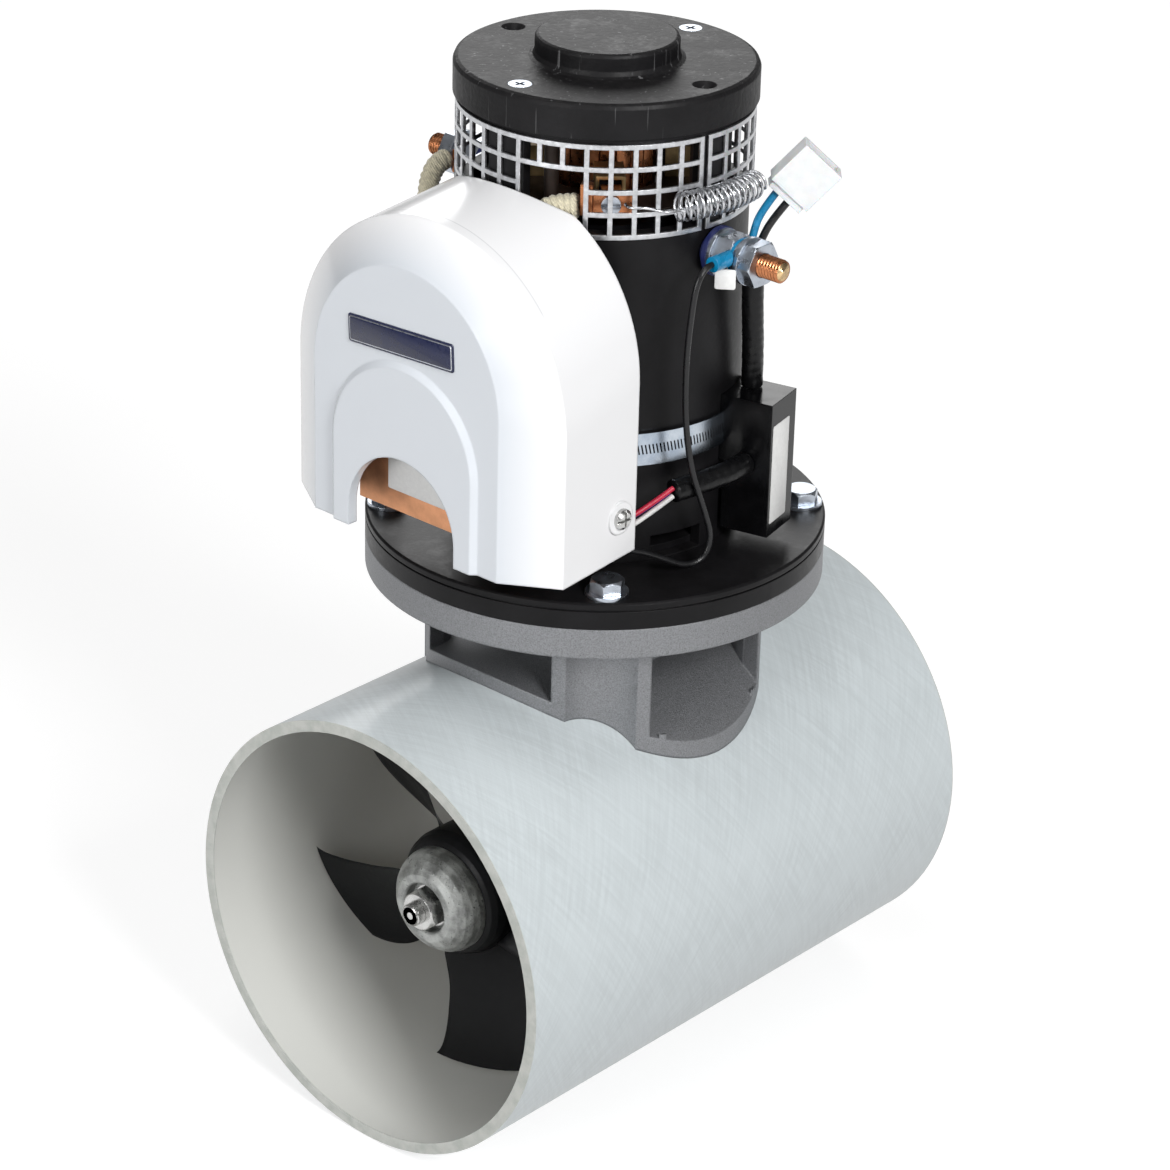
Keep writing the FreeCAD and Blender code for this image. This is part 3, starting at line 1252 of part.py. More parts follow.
def make_housing():
    """The moulded contact housing, open below and slotted for its bars."""
    wall = 2.5
    half = d.contactor_half
    front = -contactor_front
    depth = d.contactor_depth
    height = d.contactor_housing_height
    block = box("HousingBlock", (-half, front, frame_top), (half * 2, depth, height))
    room = box("HousingRoom", (-half + wall, front + wall, frame_top), (half * 2 - 2 * wall, depth - 2 * wall, height - wall))
    slots = []
    solids = []
    for k, runs in enumerate(contact_bars()):
        for m, (low, size) in enumerate(runs):
            grown = [edge - 0.1 for edge in low]
            slots.append(box(f"BarSlot{k}{m}", grown, [side + 0.2 for side in size]))
        pieces = [box(f"Bar{k}{m}", low, size) for m, (low, size) in enumerate(runs)]
        solids.append(fuse(f"ContactBar{k}", *pieces))
    keep("contactor_housing", cut("ContactorHousing", block, room, *slots))
    keep("contactor_terminals", group("ContactorTerminals", *solids))


def arch(half, spring, y, low):
    """An arch outline: straight sides up to the springing line, then a half circle."""
    half, spring, y, low = (float(v) for v in (half, spring, y, low))
    corners = [Vector(-half, y, spring), Vector(-half, y, low), Vector(half, y, low), Vector(half, y, spring)]
    lines = [Part.LineSegment(a, b).toShape() for a, b in zip(corners, corners[1:])]
    bow = Part.Arc(corners[3], Vector(0, y, spring + half), corners[0]).toShape()
    return Part.Wire(lines + [bow])


def make_cover():
    """The moulded cover: arched crown, splayed sides and a panelled front."""
    low = d.cover_bottom
    wall = d.cover_wall
    rear = Part.makeLoft([arch(d.cover_rear_half, d.cover_rear_spring, -d.cover_rear, low),
                          arch(d.cover_corner_half, d.cover_corner_spring, -d.cover_corner, low)], True, True)
    front = Part.makeLoft([arch(d.cover_corner_half, d.cover_corner_spring, -d.cover_corner, low),
                           arch(d.cover_front_half, d.cover_front_spring, -d.cover_front, low)], True, True)
    below = low - 5
    room_rear = Part.makeLoft([arch(d.cover_rear_half - wall, d.cover_rear_spring, -d.cover_rear + 0.01, below),
                               arch(d.cover_corner_half - wall, d.cover_corner_spring,
                                    -d.cover_corner + 0.9, below)], True, True)
    room_front = Part.makeLoft([arch(d.cover_corner_half - wall, d.cover_corner_spring,
                                     -d.cover_corner + 0.9, below),
                                arch(d.cover_front_half - wall * 0.6, d.cover_front_spring,
                                     -d.cover_front + wall, below)], True, True)
    shell = rear.fuse(front).cut(room_rear.fuse(room_front))
    rise = d.cover_panel_rise
    panel = Part.makeLoft([arch(d.cover_panel_half + 2.5, d.cover_panel_spring, -d.cover_front, low),
                           arch(d.cover_panel_half, d.cover_panel_spring, -d.cover_front - rise, low)], True, True)
    notch = Part.Face(arch(d.cover_notch_half, d.cover_notch_spring, -d.cover_front - rise - 5, low - 5))
    opening = notch.extrude(Vector(0, 15, 0))
    shell = shell.fuse(panel)
    for side in (1, -1):
        x = side * 68.2
        shell = shell.fuse(Part.makeCylinder(7, 3.4, Vector(x, -float(d.cover_screw_setback), float(d.cover_screw_height)),
                                             Vector(side, 0, 0)))
    drill = Part.makeCylinder(float(d.cover_screw_radius) + 0.05, 160,
                              Vector(-80, -float(d.cover_screw_setback), float(d.cover_screw_height)), Vector(1, 0, 0))
    motor_room = Part.makeCylinder(float(d.cap_radius), 400)
    ear_room = [Part.makeBox(4, 15, 17, Vector(x, -float(d.cover_screw_setback) - 7.5, float(d.cover_screw_height) - 8.5))
                for x in (63.65, -67.65)]
    shell = shell.cut([opening, drill, motor_room] + ear_room)
    keep("contactor_cover", feature("ContactorCover", shell.removeSplitter()))


def make_cover_screws():
    """Two pan-head screws through the sides of the cover."""
    screws = []
    for k, side in enumerate((1, -1)):
        start = Vector(side * 71.6, -float(d.cover_screw_setback), float(d.cover_screw_height))
        axis = Vector(side, 0, 0)
        head = Part.makeCylinder(4.3, 1.6, start, axis).fuse(Part.makeCone(4.3, 3.0, 1.0, start + axis * 1.6, axis))
        shank = Part.makeCylinder(float(d.cover_screw_radius), 10, start - axis * 10, axis)
        slot_low = start + Vector(side * 1.4 - (0 if side > 0 else 2), -4, -0.5)
        slots = [Part.makeBox(2, 8, 1, slot_low), Part.makeBox(2, 1, 8, slot_low + Vector(0, 3.5, -3.5))]
        screws.append(feature(f"CoverScrew{k}", head.fuse(shank).cut(slots)))
    keep("cover_screws", group("CoverScrews", *screws))


# ---------------------------------------------------------------- coupling and shafts

def jaws(name, low, height, first, span, inner, count):
    """Coupling jaws: sectors standing on a ring."""
    parts = []
    for k in range(count):
        middle = first + 360.0 / count * k
        wedge_part = sector(f"{name}{k}", d.coupling_radius, height, (0, 0, low), middle, span)
        parts.append(cut(f"{name}Jaw{k}", wedge_part, cylinder(f"{name}Core{k}", inner, height, (0, 0, low))))
    return parts


def make_coupling():
    """A jaw coupling: two hubs and the elastic spider between them."""
    lower_hub = ring("LowerHub", d.coupling_radius, d.pinion_shaft_radius + d.fit_clearance,
                     d.coupling_hub, (0, 0, d.coupling_bottom))
    core = d.motor_shaft_radius + 1.5
    keep("coupling_lower", fuse("CouplingLower", lower_hub,
                                *jaws("LowerJaw", coupling_jaw_low, d.coupling_jaw, 0, 44, core, 3)))
    upper_hub = ring("UpperHub", d.coupling_radius, d.motor_shaft_radius + d.fit_clearance,
                     d.coupling_hub, (0, 0, coupling_jaw_top + 0.4))
    keep("coupling_upper", fuse("CouplingUpper", upper_hub,
                                *jaws("UpperJaw", coupling_jaw_low + 0.4, d.coupling_jaw, 60, 44, core, 3)))
    legs = [sector(f"SpiderLeg{k}", d.coupling_radius - 0.5, d.coupling_jaw - 0.4,
                   (0, 0, coupling_jaw_low + 0.4), 30 + 60 * k, 15.6) for k in range(6)]
    centre = cylinder("SpiderCentre", core - 0.2, d.coupling_jaw - 0.4, (0, 0, coupling_jaw_low + 0.4))
    keep("coupling_spider", fuse("CouplingSpider", centre, *legs))


def bevel_teeth(count, half_angle, phase, thickness):
    """Straight bevel teeth about +Z, every section homothetic to the apex."""
    module = float(d.gear_module)
    cone_length = module * float(d.pinion_teeth) / 2 / math.sin(math.atan(0.5))
    lean = math.tan(math.radians(20))
    width = math.pi * module * thickness / 2
    up = 0.8 * module
    down = 1.15 * module + 0.35
    outline = [(-width - down * lean, -down), (width + down * lean, -down), (width, 0),
               (width - up * lean * 1.25, up), (-width + up * lean * 1.25, up), (-width, 0)]
    axis = math.radians(half_angle)
    centre = Vector(math.sin(axis), 0, math.cos(axis)) * cone_length
    outward = Vector(math.cos(axis), 0, -math.sin(axis))
    corners = [centre + outward * rise + Vector(0, across, 0) for across, rise in outline]
    scale = 1 - float(d.gear_face) / cone_length
    wires = [Part.makePolygon([c * s for c in corners] + [corners[0] * s]) for s in (1.0, scale)]
    tooth = Part.makeLoft(wires, True, True)
    return [tooth.rotated(Vector(), Vector(0, 0, 1), phase + 360.0 / count * k) for k in range(count)]


def revolved(points):
    """A solid of revolution about Z from (radius, height) corners."""
    corners = [Vector(float(r), 0, float(z)) for r, z in points]
    return Part.Face(Part.makePolygon(corners + corners[:1])).revolve(Vector(), Vector(0, 0, 1), 360)


def make_gears():
    """Pinion shaft and bevel gear, two to one."""
    pinion_cone = math.degrees(math.atan(float(d.pinion_teeth) / float(d.gear_teeth)))
    shaft = float(d.pinion_shaft_radius)
    core = revolved([(0, 13.95), (5.57, 13.95), (8.0, 20.0), (7.4, 22.0), (shaft, 22.4),
                     (shaft, float(d.coupling_bottom + d.coupling_hub) - 0.6), (0, float(d.coupling_bottom + d.coupling_hub) - 0.6)])
    teeth = bevel_teeth(int(d.pinion_teeth.value), pinion_cone, 90, 0.42)
    keep("pinion_shaft", feature("PinionShaft", core.fuse(teeth)))
    bore = float(d.prop_shaft_radius + d.fit_clearance)
    blank = revolved([(bore, 7.8), (12.8, 7.8), (18.4, 11.2), (17.4, 13.5), (17.4, 15.0), (12, 15.0),
                      (12, 20), (bore, 20)])
    teeth = bevel_teeth(int(d.gear_teeth.value), 90 - pinion_cone, 7.5, 0.42)
    gear = blank.fuse(teeth)
    turn = Rotation(Vector(1, 0, 0), -90)
    keep("bevel_gear", feature("BevelGear", gear, (0, 0, 0), turn))


def make_prop_shaft():
    """The propeller shaft with its threaded end and cross hole."""
    back = d.gear_chamber_radius + d.leg_bearing_width + 3
    shoulder = hub_front - 2
    thread = d.prop_thread_radius
    blank = turned("PropShaftBlank", "Y", [
        (0, back), (d.prop_shaft_radius - 1, back), (d.prop_shaft_radius, back - 1),
        (d.prop_shaft_radius, -shoulder), (thread, -shoulder), (thread, -shaft_tip + 1),
        (thread - 1, -shaft_tip), (1.6, -shaft_tip), (0, -shaft_tip + 3.2)])
    pin_hole = cylinder("PropShaftPinHole", d.drive_pin_radius + d.fit_clearance, 40, (0, drive_pin_y, -20.0))
    keep("prop_shaft", cut("PropShaft", blank, pin_hole))
    pin = cylinder("DrivePin", d.drive_pin_radius, d.drive_pin_length, (0, drive_pin_y, -d.drive_pin_length / 2))
    keep("drive_pin", pin)


drive_pin_y = -(hub_rear + 5)


# ---------------------------------------------------------------- propeller and anode

def blade_section(radius, lead_angle, trail_angle, thickness):
    """A lens-shaped section wrapped on a cylinder about the tunnel axis."""
    pitch = float(d.propeller_pitch)
    tail_y = -60.0

    def place(angle, offset):
        along = tail_y - (231.0 - angle) / 360 * pitch
        slope = math.atan(pitch / 360 * math.degrees(1) / radius)
        turned_angle = angle + math.degrees(offset * math.sin(slope) / radius)
        along += offset * math.cos(slope)
        here = math.radians(turned_angle)
        return Vector(radius * math.cos(here), along, radius * math.sin(here))

    middle = (lead_angle + trail_angle) / 2
    quarter = (lead_angle + middle) / 2
    far = (trail_angle + middle) / 2
    half = thickness / 2
    lead, trail = place(lead_angle, 0), place(trail_angle, 0)
    front = Part.BSplineCurve()
    front.interpolate([lead, place(quarter, half * 0.85), place(middle, half), place(far, half * 0.7), trail])
    back = Part.BSplineCurve()
    back.interpolate([trail, place(far, -half * 0.7), place(middle, -half), place(quarter, -half * 0.85), lead])
    return Part.Wire([front.toShape(), back.toShape()])


def make_propeller():
    """Five swept blades on a rounded hub with the drive slot and shaft bore."""
    stations = ((22, 182.0, 230.5), (28, 183.0, 231.0), (38, 186.3, 231.0), (50, 190.0, 231.0),
                (61, 191.0, 230.8), (72, 191.2, 229.2), (81, 190.8, 226.0), (87, 190.0, 222.5), (93, 186.5, 217.0))
    root_thickness = float(d.blade_root_thickness)
    tip_thickness = float(d.blade_tip_thickness)
    sections = []
    for radius, lead_angle, trail_angle in stations:
        share = (radius - stations[0][0]) / (stations[-1][0] - stations[0][0])
        thickness = root_thickness + (tip_thickness - root_thickness) * share
        sections.append(blade_section(radius, lead_angle, trail_angle, thickness))
    blade = Part.makeLoft(sections, True, False)
    limit = Part.makeCylinder(float(d.propeller_radius), 80, Vector(0, -110, 0), Vector(0, 1, 0))
    blade = blade.common(limit)
    hub_radius = float(d.propeller_hub_radius)
    rear = float(hub_rear)
    front = float(hub_front)
    hub = revolved([(0, rear), (hub_radius - 1, rear), (hub_radius, rear + 1.5), (hub_radius + 0.5, front - 14),
                    (hub_radius + 0.4, front - 7), (hub_radius - 0.6, front - 3.5), (hub_radius - 2.2, front - 1.2),
                    (hub_radius - 4, front), (0, front)]).rotated(Vector(), Vector(1, 0, 0), 90)
    step = 360.0 / float(d.blade_count)
    blades = [blade.rotated(Vector(), Vector(0, 1, 0), step * k) for k in range(int(d.blade_count.value))]
    bore = Part.makeCylinder(float(d.prop_shaft_radius + d.fit_clearance), float(d.propeller_hub_length) - 2,
                             Vector(0, -front + 2, 0), Vector(0, 1, 0))
    thread = Part.makeCylinder(float(d.prop_thread_radius + d.fit_clearance), 4, Vector(0, -front, 0), Vector(0, 1, 0))
    slot_width = float(d.drive_pin_radius) * 2 + 0.1
    slot = Part.makeBox(slot_width, -float(drive_pin_y) - rear + float(d.drive_pin_radius) + 0.05, float(d.drive_pin_length) + 0.4,
                        Vector(-slot_width / 2, float(drive_pin_y) - float(d.drive_pin_radius) - 0.05,
                               -float(d.drive_pin_length) / 2 - 0.2))
    keep("propeller", feature("Propeller", hub.fuse(blades).cut([bore, thread, slot])))


def make_anode():
    """The zinc anode with its round nose and recess, washer and nut."""
    back = hub_front
    nose = anode_front
    outer = d.anode_radius
    thread_hole = d.prop_thread_radius + d.fit_clearance
    keep("anode", turned("AnodeBody", "Y", [
        (thread_hole, -back), (outer, -back), (outer, -back - 3), (outer - 0.9, -back - 6.4),
        (outer - 2.6, -back - 9.2), (outer - 5.2, -back - 11.8), (d.anode_nose_radius, -nose),
        (d.anode_recess_radius + 0.8, -nose), (d.anode_recess_radius, -nose + 0.8),
        (d.anode_recess_radius, -recess_floor), (thread_hole, -recess_floor)]))
    keep("prop_washer", ring("PropWasher", d.prop_washer_radius, thread_hole, d.prop_washer_thickness,
                             (0, -nut_seat, 0), "Y"))
    nut = hexagon("PropNutBlank", d.prop_nut_flats, d.prop_nut_height, (0, -nut_end, 0), "Y", 20)
    chamfer = fuse("PropNutForm",
                   cone("PropNutCone", d.prop_nut_flats * 0.47, d.prop_nut_flats * 0.6, d.prop_nut_height * 0.3,
                        (0, -nut_end, 0), "Y"),
                   cylinder("PropNutDrum", d.prop_nut_flats * 0.6, d.prop_nut_height * 0.7,
                            (0, -nut_end + d.prop_nut_height * 0.3, 0), "Y"))
    bore = cylinder("PropNutBore", thread_hole, d.prop_nut_height, (0, -nut_end, 0), "Y")
    keep("prop_nut", cut("PropNut", common("PropNutShaped", nut, chamfer), bore))


# ---------------------------------------------------------------- cables

def make_cables():
    """Straps, sleeves and wires, each along its own route."""
    keep("power_straps", group(
        "PowerStraps",
        cable("LeftStrap", [(-79.4, -10.7, 293.7), (-79.4, -21, 293.7), (-77, -25, 266), (-55, -58, 259),
                            (-41.6, -90, 277)], 4.5),
        cable("RightStrap", [(28.7, -48, 310.8), (18.6, -53, 309.9), (14.6, -65.5, 302), (2.5, -72.4, 293.5),
                             (0, -71.4, 277.1)], 4.5)))
    keep("loop_wire", cable("LoopWire", [
        (75.1, -19.2, 290.9), (75.1, -27.5, 290.9), (72, -28.5, 262), (71, -28, 242), (71.2, -27, 222), (72.5, -24, 202),
        (75, -18, 184), (77, -14.5, 170), (76, -18, 161.5), (73, -26, 160), (69, -35, 165), (65, -45, 170.5),
        (61, -58, 174.5), (53, -73, 178), (44, -79, 186), (35, -84.5, 191)], 1.3))
    keep("relay_sleeves", group(
        "RelaySleeves",
        cable("UpSleeve", [(62.5, 25, 222.9), (64, 23, 240), (66.5, 18, 262), (67.5, 16, 286)], 4.6),
        cable("SideSleeve", [(71.3, 11.4, 194), (72.6, 4.6, 193.7), (69.8, -11, 192.8), (66, -27, 191.9)], 4.9)))
    keep("control_wires", group(
        "ControlWires",
        cable("RedWire", [(66.6, -28, 193.8), (64, -38, 189), (58, -56, 181.8), (49, -70, 184.6), (33.6, -79, 194)], 1.1),
        cable("WhiteWire", [(64.4, -28.1, 191), (61.5, -38, 186.5), (55.5, -56, 179.5), (46.5, -67.5, 182.5),
                            (33, -76.6, 190)], 1.1),
        cable("VioletWire", [(66.6, -28, 190.2), (64.2, -38, 185.5), (59.5, -55, 178.5), (51.5, -70, 181.5),
                             (34, -81.4, 188)], 1.1)))
    keep("plug_leads", group(
        "PlugLeads",
        cable("BlueLead", [(66.6, 14.8, 286.8), (66.4, 16.8, 293), (66.6, 20.5, 300.5), (69.5, 26.5, 308.3)], 1.6),
        cable("BlackLead", [(68.6, 17.8, 286.8), (69.2, 20, 292), (70.6, 24, 298), (73.1, 29.2, 304.25)], 1.6)))


def make_plug():
    """The nylon plug that couples the harness to the control lead."""
    long_axis = Vector(0.506, 0.445, 0.735).normalize()
    wide = Vector(0.53, 0.47, -0.70)
    wide = (wide - long_axis * wide.dot(long_axis)).normalize()
    thin = long_axis.cross(wide)
    turn = Rotation(wide, thin, long_axis, "ZXY")
    body = Part.makeBox(20, 11, 20, Vector(-10, -5.5, -9))
    collar = Part.makeBox(17, 9, 4, Vector(-8.5, -4.5, -12))
    latch = Part.makeBox(6, 2, 14, Vector(-3, 5.5, -6))
    mouth = Part.makeBox(16, 7.5, 9, Vector(-8, -3.75, 3))
    pins = [Part.makeBox(1.2, 1.2, 7, Vector(x - 0.6, y - 0.6, 2.5)) for x in (-4, 4) for y in (-1.5,)]
    shape = body.fuse([collar, latch]).cut(mouth).fuse(pins)
    keep("connector_plug", feature("ConnectorPlug", shape, (77.5, 34, 315.5), turn))


make_tunnel()
make_gasket()
make_leg()
make_leg_cap()
make_leg_screws()
make_saddle()
make_base_plate()
make_flange_bolts()
make_motor_body()
make_field()
make_end_cap()
make_cap_screws()
make_rotor()
make_bearings()
make_brush_gear()
make_guard_band()
make_spring()
make_terminals()
make_ring_terminal()
make_copper()
make_lead_screw()
make_clamp()
make_relay()
make_bracket()
make_frame()
make_coils()
make_plungers()
make_housing()
make_cover()
make_cover_screws()
make_coupling()
make_gears()
make_prop_shaft()
make_propeller()
make_anode()
make_cables()
make_plug()

doc.recompute()
faults = [f"{obj.Name}: {', '.join(obj.State)}" for obj in doc.Objects
          if "Invalid" in obj.State or "Error" in obj.State]
for label, obj in kept.items():
    if obj.Shape.isNull() or not obj.Shape.isValid():
        faults.append(f"{label}: shape is null or not valid")
if faults:
    raise SystemExit("\n".join(faults))
os.makedirs("parts", exist_ok=True)
for label, obj in kept.items():
    obj.Shape.exportStep(os.path.join("parts", label + ".step"))
    box_now = obj.Shape.BoundBox
    print(f"{label}: {len(obj.Shape.Solids)} solid(s), volume {obj.Shape.Volume:.0f}, "
          f"size {box_now.XLength:.1f} x {box_now.YLength:.1f} x {box_now.ZLength:.1f}")
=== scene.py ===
import math

import bmesh
import bpy
from bpy.props import FloatProperty, FloatVectorProperty, IntProperty, PointerProperty
from mathutils import Matrix, Vector


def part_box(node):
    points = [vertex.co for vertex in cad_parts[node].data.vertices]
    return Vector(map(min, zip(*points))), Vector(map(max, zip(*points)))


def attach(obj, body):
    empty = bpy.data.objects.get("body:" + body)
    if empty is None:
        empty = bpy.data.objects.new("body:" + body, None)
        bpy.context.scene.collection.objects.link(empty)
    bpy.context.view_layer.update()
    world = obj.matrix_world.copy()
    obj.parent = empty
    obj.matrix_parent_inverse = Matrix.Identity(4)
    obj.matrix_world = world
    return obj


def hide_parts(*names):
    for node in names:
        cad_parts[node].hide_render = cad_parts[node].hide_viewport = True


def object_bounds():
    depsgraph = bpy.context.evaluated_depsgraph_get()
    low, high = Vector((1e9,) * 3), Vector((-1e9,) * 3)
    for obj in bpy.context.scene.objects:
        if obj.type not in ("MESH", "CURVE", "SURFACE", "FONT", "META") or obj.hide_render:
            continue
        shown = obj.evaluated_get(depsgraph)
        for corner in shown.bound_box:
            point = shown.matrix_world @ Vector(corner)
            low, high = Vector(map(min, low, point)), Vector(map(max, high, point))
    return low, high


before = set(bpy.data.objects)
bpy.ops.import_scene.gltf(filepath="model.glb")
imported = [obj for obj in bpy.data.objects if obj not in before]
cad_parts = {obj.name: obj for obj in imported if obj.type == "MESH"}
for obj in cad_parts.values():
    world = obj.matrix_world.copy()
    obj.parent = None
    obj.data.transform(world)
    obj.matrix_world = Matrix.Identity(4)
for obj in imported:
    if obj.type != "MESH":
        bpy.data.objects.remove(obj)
cad_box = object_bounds()

bl_info = {
    "name": "Bow thruster dress",
    "version": (1, 0, 0),
    "blender": (4, 5, 0),
    "location": "View3D > Sidebar > Thruster",
    "description": "Finishes and fine pieces for the tunnel bow thruster",
    "category": "Object",
}

MM = 0.001


# ---------------------------------------------------------------- settings

def colour(name, description, default):
    """A colour setting."""
    return FloatVectorProperty(name=name, description=description, default=default, size=3,
                               min=0.0, max=1.0, subtype="COLOR")


def length(name, description, default):
    """A length setting in metres."""
    return FloatProperty(name=name, description=description, default=default, min=0.0,
                         unit="LENGTH", subtype="DISTANCE")


class ThrusterColours(bpy.types.PropertyGroup):
    """Colours of the finishes."""

    laminate: colour("Laminate", "Filament-wound glass fibre", (0.53, 0.575, 0.59))
    gelcoat: colour("Bore", "Smooth inside of the tunnel", (0.62, 0.625, 0.595))
    casting: colour("Casting", "Grit-blasted alloy", (0.235, 0.24, 0.25))
    black_paint: colour("Black paint", "Motor tube and plate", (0.012, 0.0115, 0.013))
    cap_paint: colour("Cap paint", "Cast motor cap", (0.013, 0.0125, 0.014))
    cover: colour("Cover", "Moulded cover", (0.84, 0.84, 0.85))
    # Painted shade: a darker, cooler colour for the face of the cover towards -Y, standing in for that face
    # being less lit than the sides.
    cover_front_shade: colour("Cover front", "Front of the moulded cover", (0.62, 0.65, 0.69))
    propeller: colour("Propeller", "Filled nylon", (0.009, 0.0095, 0.011))
    anode: colour("Anode", "Cast zinc", (0.36, 0.37, 0.36))
    copper: colour("Copper", "Bare copper", (0.55, 0.22, 0.10))
    zinc: colour("Zinc", "Zinc-plated steel", (0.50, 0.54, 0.60))
    strap: colour("Strap", "Woven sleeve", (0.62, 0.57, 0.42))


class ThrusterSizes(bpy.types.PropertyGroup):
    """Sizes of the fine pieces."""

    thread_pitch: length("Thread pitch", "Pitch of the terminal threads", 0.0015)
    thread_depth: length("Thread depth", "Depth of the terminal threads", 0.0008)
    thread_steps: IntProperty(name="Thread steps", description="Facets round a thread", default=40, min=12)
    rib_pitch: length("Rib pitch", "Spacing of the strap's woven ribs", 0.0026)
    wire: length("Wire", "Diameter of a control wire", 0.0022)
    label_lift: length("Label lift", "How far a label stands proud", 0.0002)
    badge_width: length("Badge width", "Width of the bare badge", 0.058)
    badge_height: length("Badge height", "Height of the bare badge", 0.012)


def colours():
    """The colour settings."""
    return bpy.context.scene.thruster_colours


def sizes():
    """The size settings."""
    return bpy.context.scene.thruster_sizes


# ---------------------------------------------------------------- shader groups

def socket(group, name, kind, side="INPUT", default=None):
    """Adds one named socket to a node group."""
    item = group.interface.new_socket(name=name, in_out=side, socket_type="NodeSocket" + kind)
    if default is not None:
        item.default_value = default
    return item


def shader_group(name, inputs, outputs):
    """A new shader group with its input and output nodes."""
    group = bpy.data.node_groups.new(name, "ShaderNodeTree")
    for label, kind, default in inputs:
        socket(group, label, kind, "INPUT", default)
    for label, kind in outputs:
        socket(group, label, kind, "OUTPUT")
    enter = group.nodes.new("NodeGroupInput")
    leave = group.nodes.new("NodeGroupOutput")
    return group, enter.outputs, leave.inputs


def node(tree, kind, links=(), **settings):
    """A node with its settings; links maps an input's name or index to a socket or a value."""
    made = tree.nodes.new("ShaderNode" + kind)
    for key, value in settings.items():
        setattr(made, key, value)
    for key, value in dict(links).items():
        if isinstance(value, bpy.types.NodeSocket):
            tree.links.new(value, made.inputs[key])
        else:
            made.inputs[key].default_value = value
    return made


def maths(tree, operation, first, second=0.0, third=None):
    """The result of one Math node."""
    links = {0: first, 1: second}
    if third is not None:
        links[2] = third
    return node(tree, "Math", links, operation=operation).outputs[0]


def cloud_group():
    """Soft patches that mix two colours."""
    group, enter, leave = shader_group(
        "Cloudy colour",
        [("Vector", "Vector", None), ("Scale", "Float", 60.0), ("Low", "Float", 0.4),
         ("High", "Float", 0.6), ("Dark", "Color", None), ("Pale", "Color", None)],
        [("Colour", "Color"), ("Mask", "Float")])
    noise = node(group, "TexNoise", {"Vector": enter["Vector"], "Scale": enter["Scale"], "Detail": 5.0,
                                     "Roughness": 0.6})
    spread = node(group, "MapRange", {0: noise.outputs["Fac"], 1: enter["Low"], 2: enter["High"]})
    mix = node(group, "Mix", {0: spread.outputs[0], 6: enter["Dark"], 7: enter["Pale"]}, data_type="RGBA")
    group.links.new(mix.outputs[2], leave["Colour"])
    group.links.new(spread.outputs[0], leave["Mask"])
    return group


def grain_group():
    """The height of a fine grain, as a casting or a blasted face has."""
    group, enter, leave = shader_group(
        "Cast grain",
        [("Vector", "Vector", None), ("Scale", "Float", 900.0), ("Coarse", "Float", 0.3)],
        [("Height", "Float"), ("Pits", "Float")])
    fine = node(group, "TexNoise", {"Vector": enter["Vector"], "Scale": enter["Scale"], "Detail": 3.0})
    coarse_scale = maths(group, "MULTIPLY", enter["Scale"], 0.18)
    coarse = node(group, "TexNoise", {"Vector": enter["Vector"], "Scale": coarse_scale, "Detail": 2.0})
    height = maths(group, "MULTIPLY_ADD", coarse.outputs["Fac"], enter["Coarse"], fine.outputs["Fac"])
    pits = node(group, "MapRange", {0: fine.outputs["Fac"], 1: 0.62, 2: 0.72})
    group.links.new(height, leave["Height"])
    group.links.new(pits.outputs[0], leave["Pits"])
    return group


def scratch_group():
    """Thin streaks that run along one axis of the vector."""
    group, enter, leave = shader_group(
        "Streaks",
        [("Vector", "Vector", None), ("Across", "Float", 700.0), ("Along", "Float", 25.0),
         ("Amount", "Float", 0.62)],
        [("Mask", "Float")])
    parts = node(group, "SeparateXYZ", {0: enter["Vector"]}).outputs
    x = maths(group, "MULTIPLY", parts[0], enter["Across"])
    y = maths(group, "MULTIPLY", parts[1], enter["Across"])
    z = maths(group, "MULTIPLY", parts[2], enter["Along"])
    joined = node(group, "CombineXYZ", {0: x, 1: y, 2: z})
    noise = node(group, "TexNoise", {"Vector": joined.outputs[0], "Scale": 1.0, "Detail": 2.0})
    upper = maths(group, "ADD", enter["Amount"], 0.08)
    mask = node(group, "MapRange", {0: noise.outputs["Fac"], 1: enter["Amount"], 2: upper})
    group.links.new(mask.outputs[0], leave["Mask"])
    return group


def dust_group():
    """Dust that settles on faces that look up."""
    group, enter, leave = shader_group(
        "Settled dust",
        [("Vector", "Vector", None), ("Scale", "Float", 220.0), ("Base", "Float", 0.05),
         ("Upward", "Float", 0.3)],
        [("Mask", "Float")])
    up = node(group, "SeparateXYZ", {0: node(group, "NewGeometry").outputs["Normal"]}).outputs[2]
    lifted = maths(group, "MAXIMUM", up, 0.0)
    amount = maths(group, "MULTIPLY_ADD", lifted, enter["Upward"], enter["Base"])
    noise = node(group, "TexNoise", {"Vector": enter["Vector"], "Scale": enter["Scale"], "Detail": 6.0,
                                     "Roughness": 0.7})
    spread = node(group, "MapRange", {0: noise.outputs["Fac"], 1: 0.3, 2: 0.75})
    group.links.new(maths(group, "MULTIPLY", amount, spread.outputs[0]), leave["Mask"])
    return group


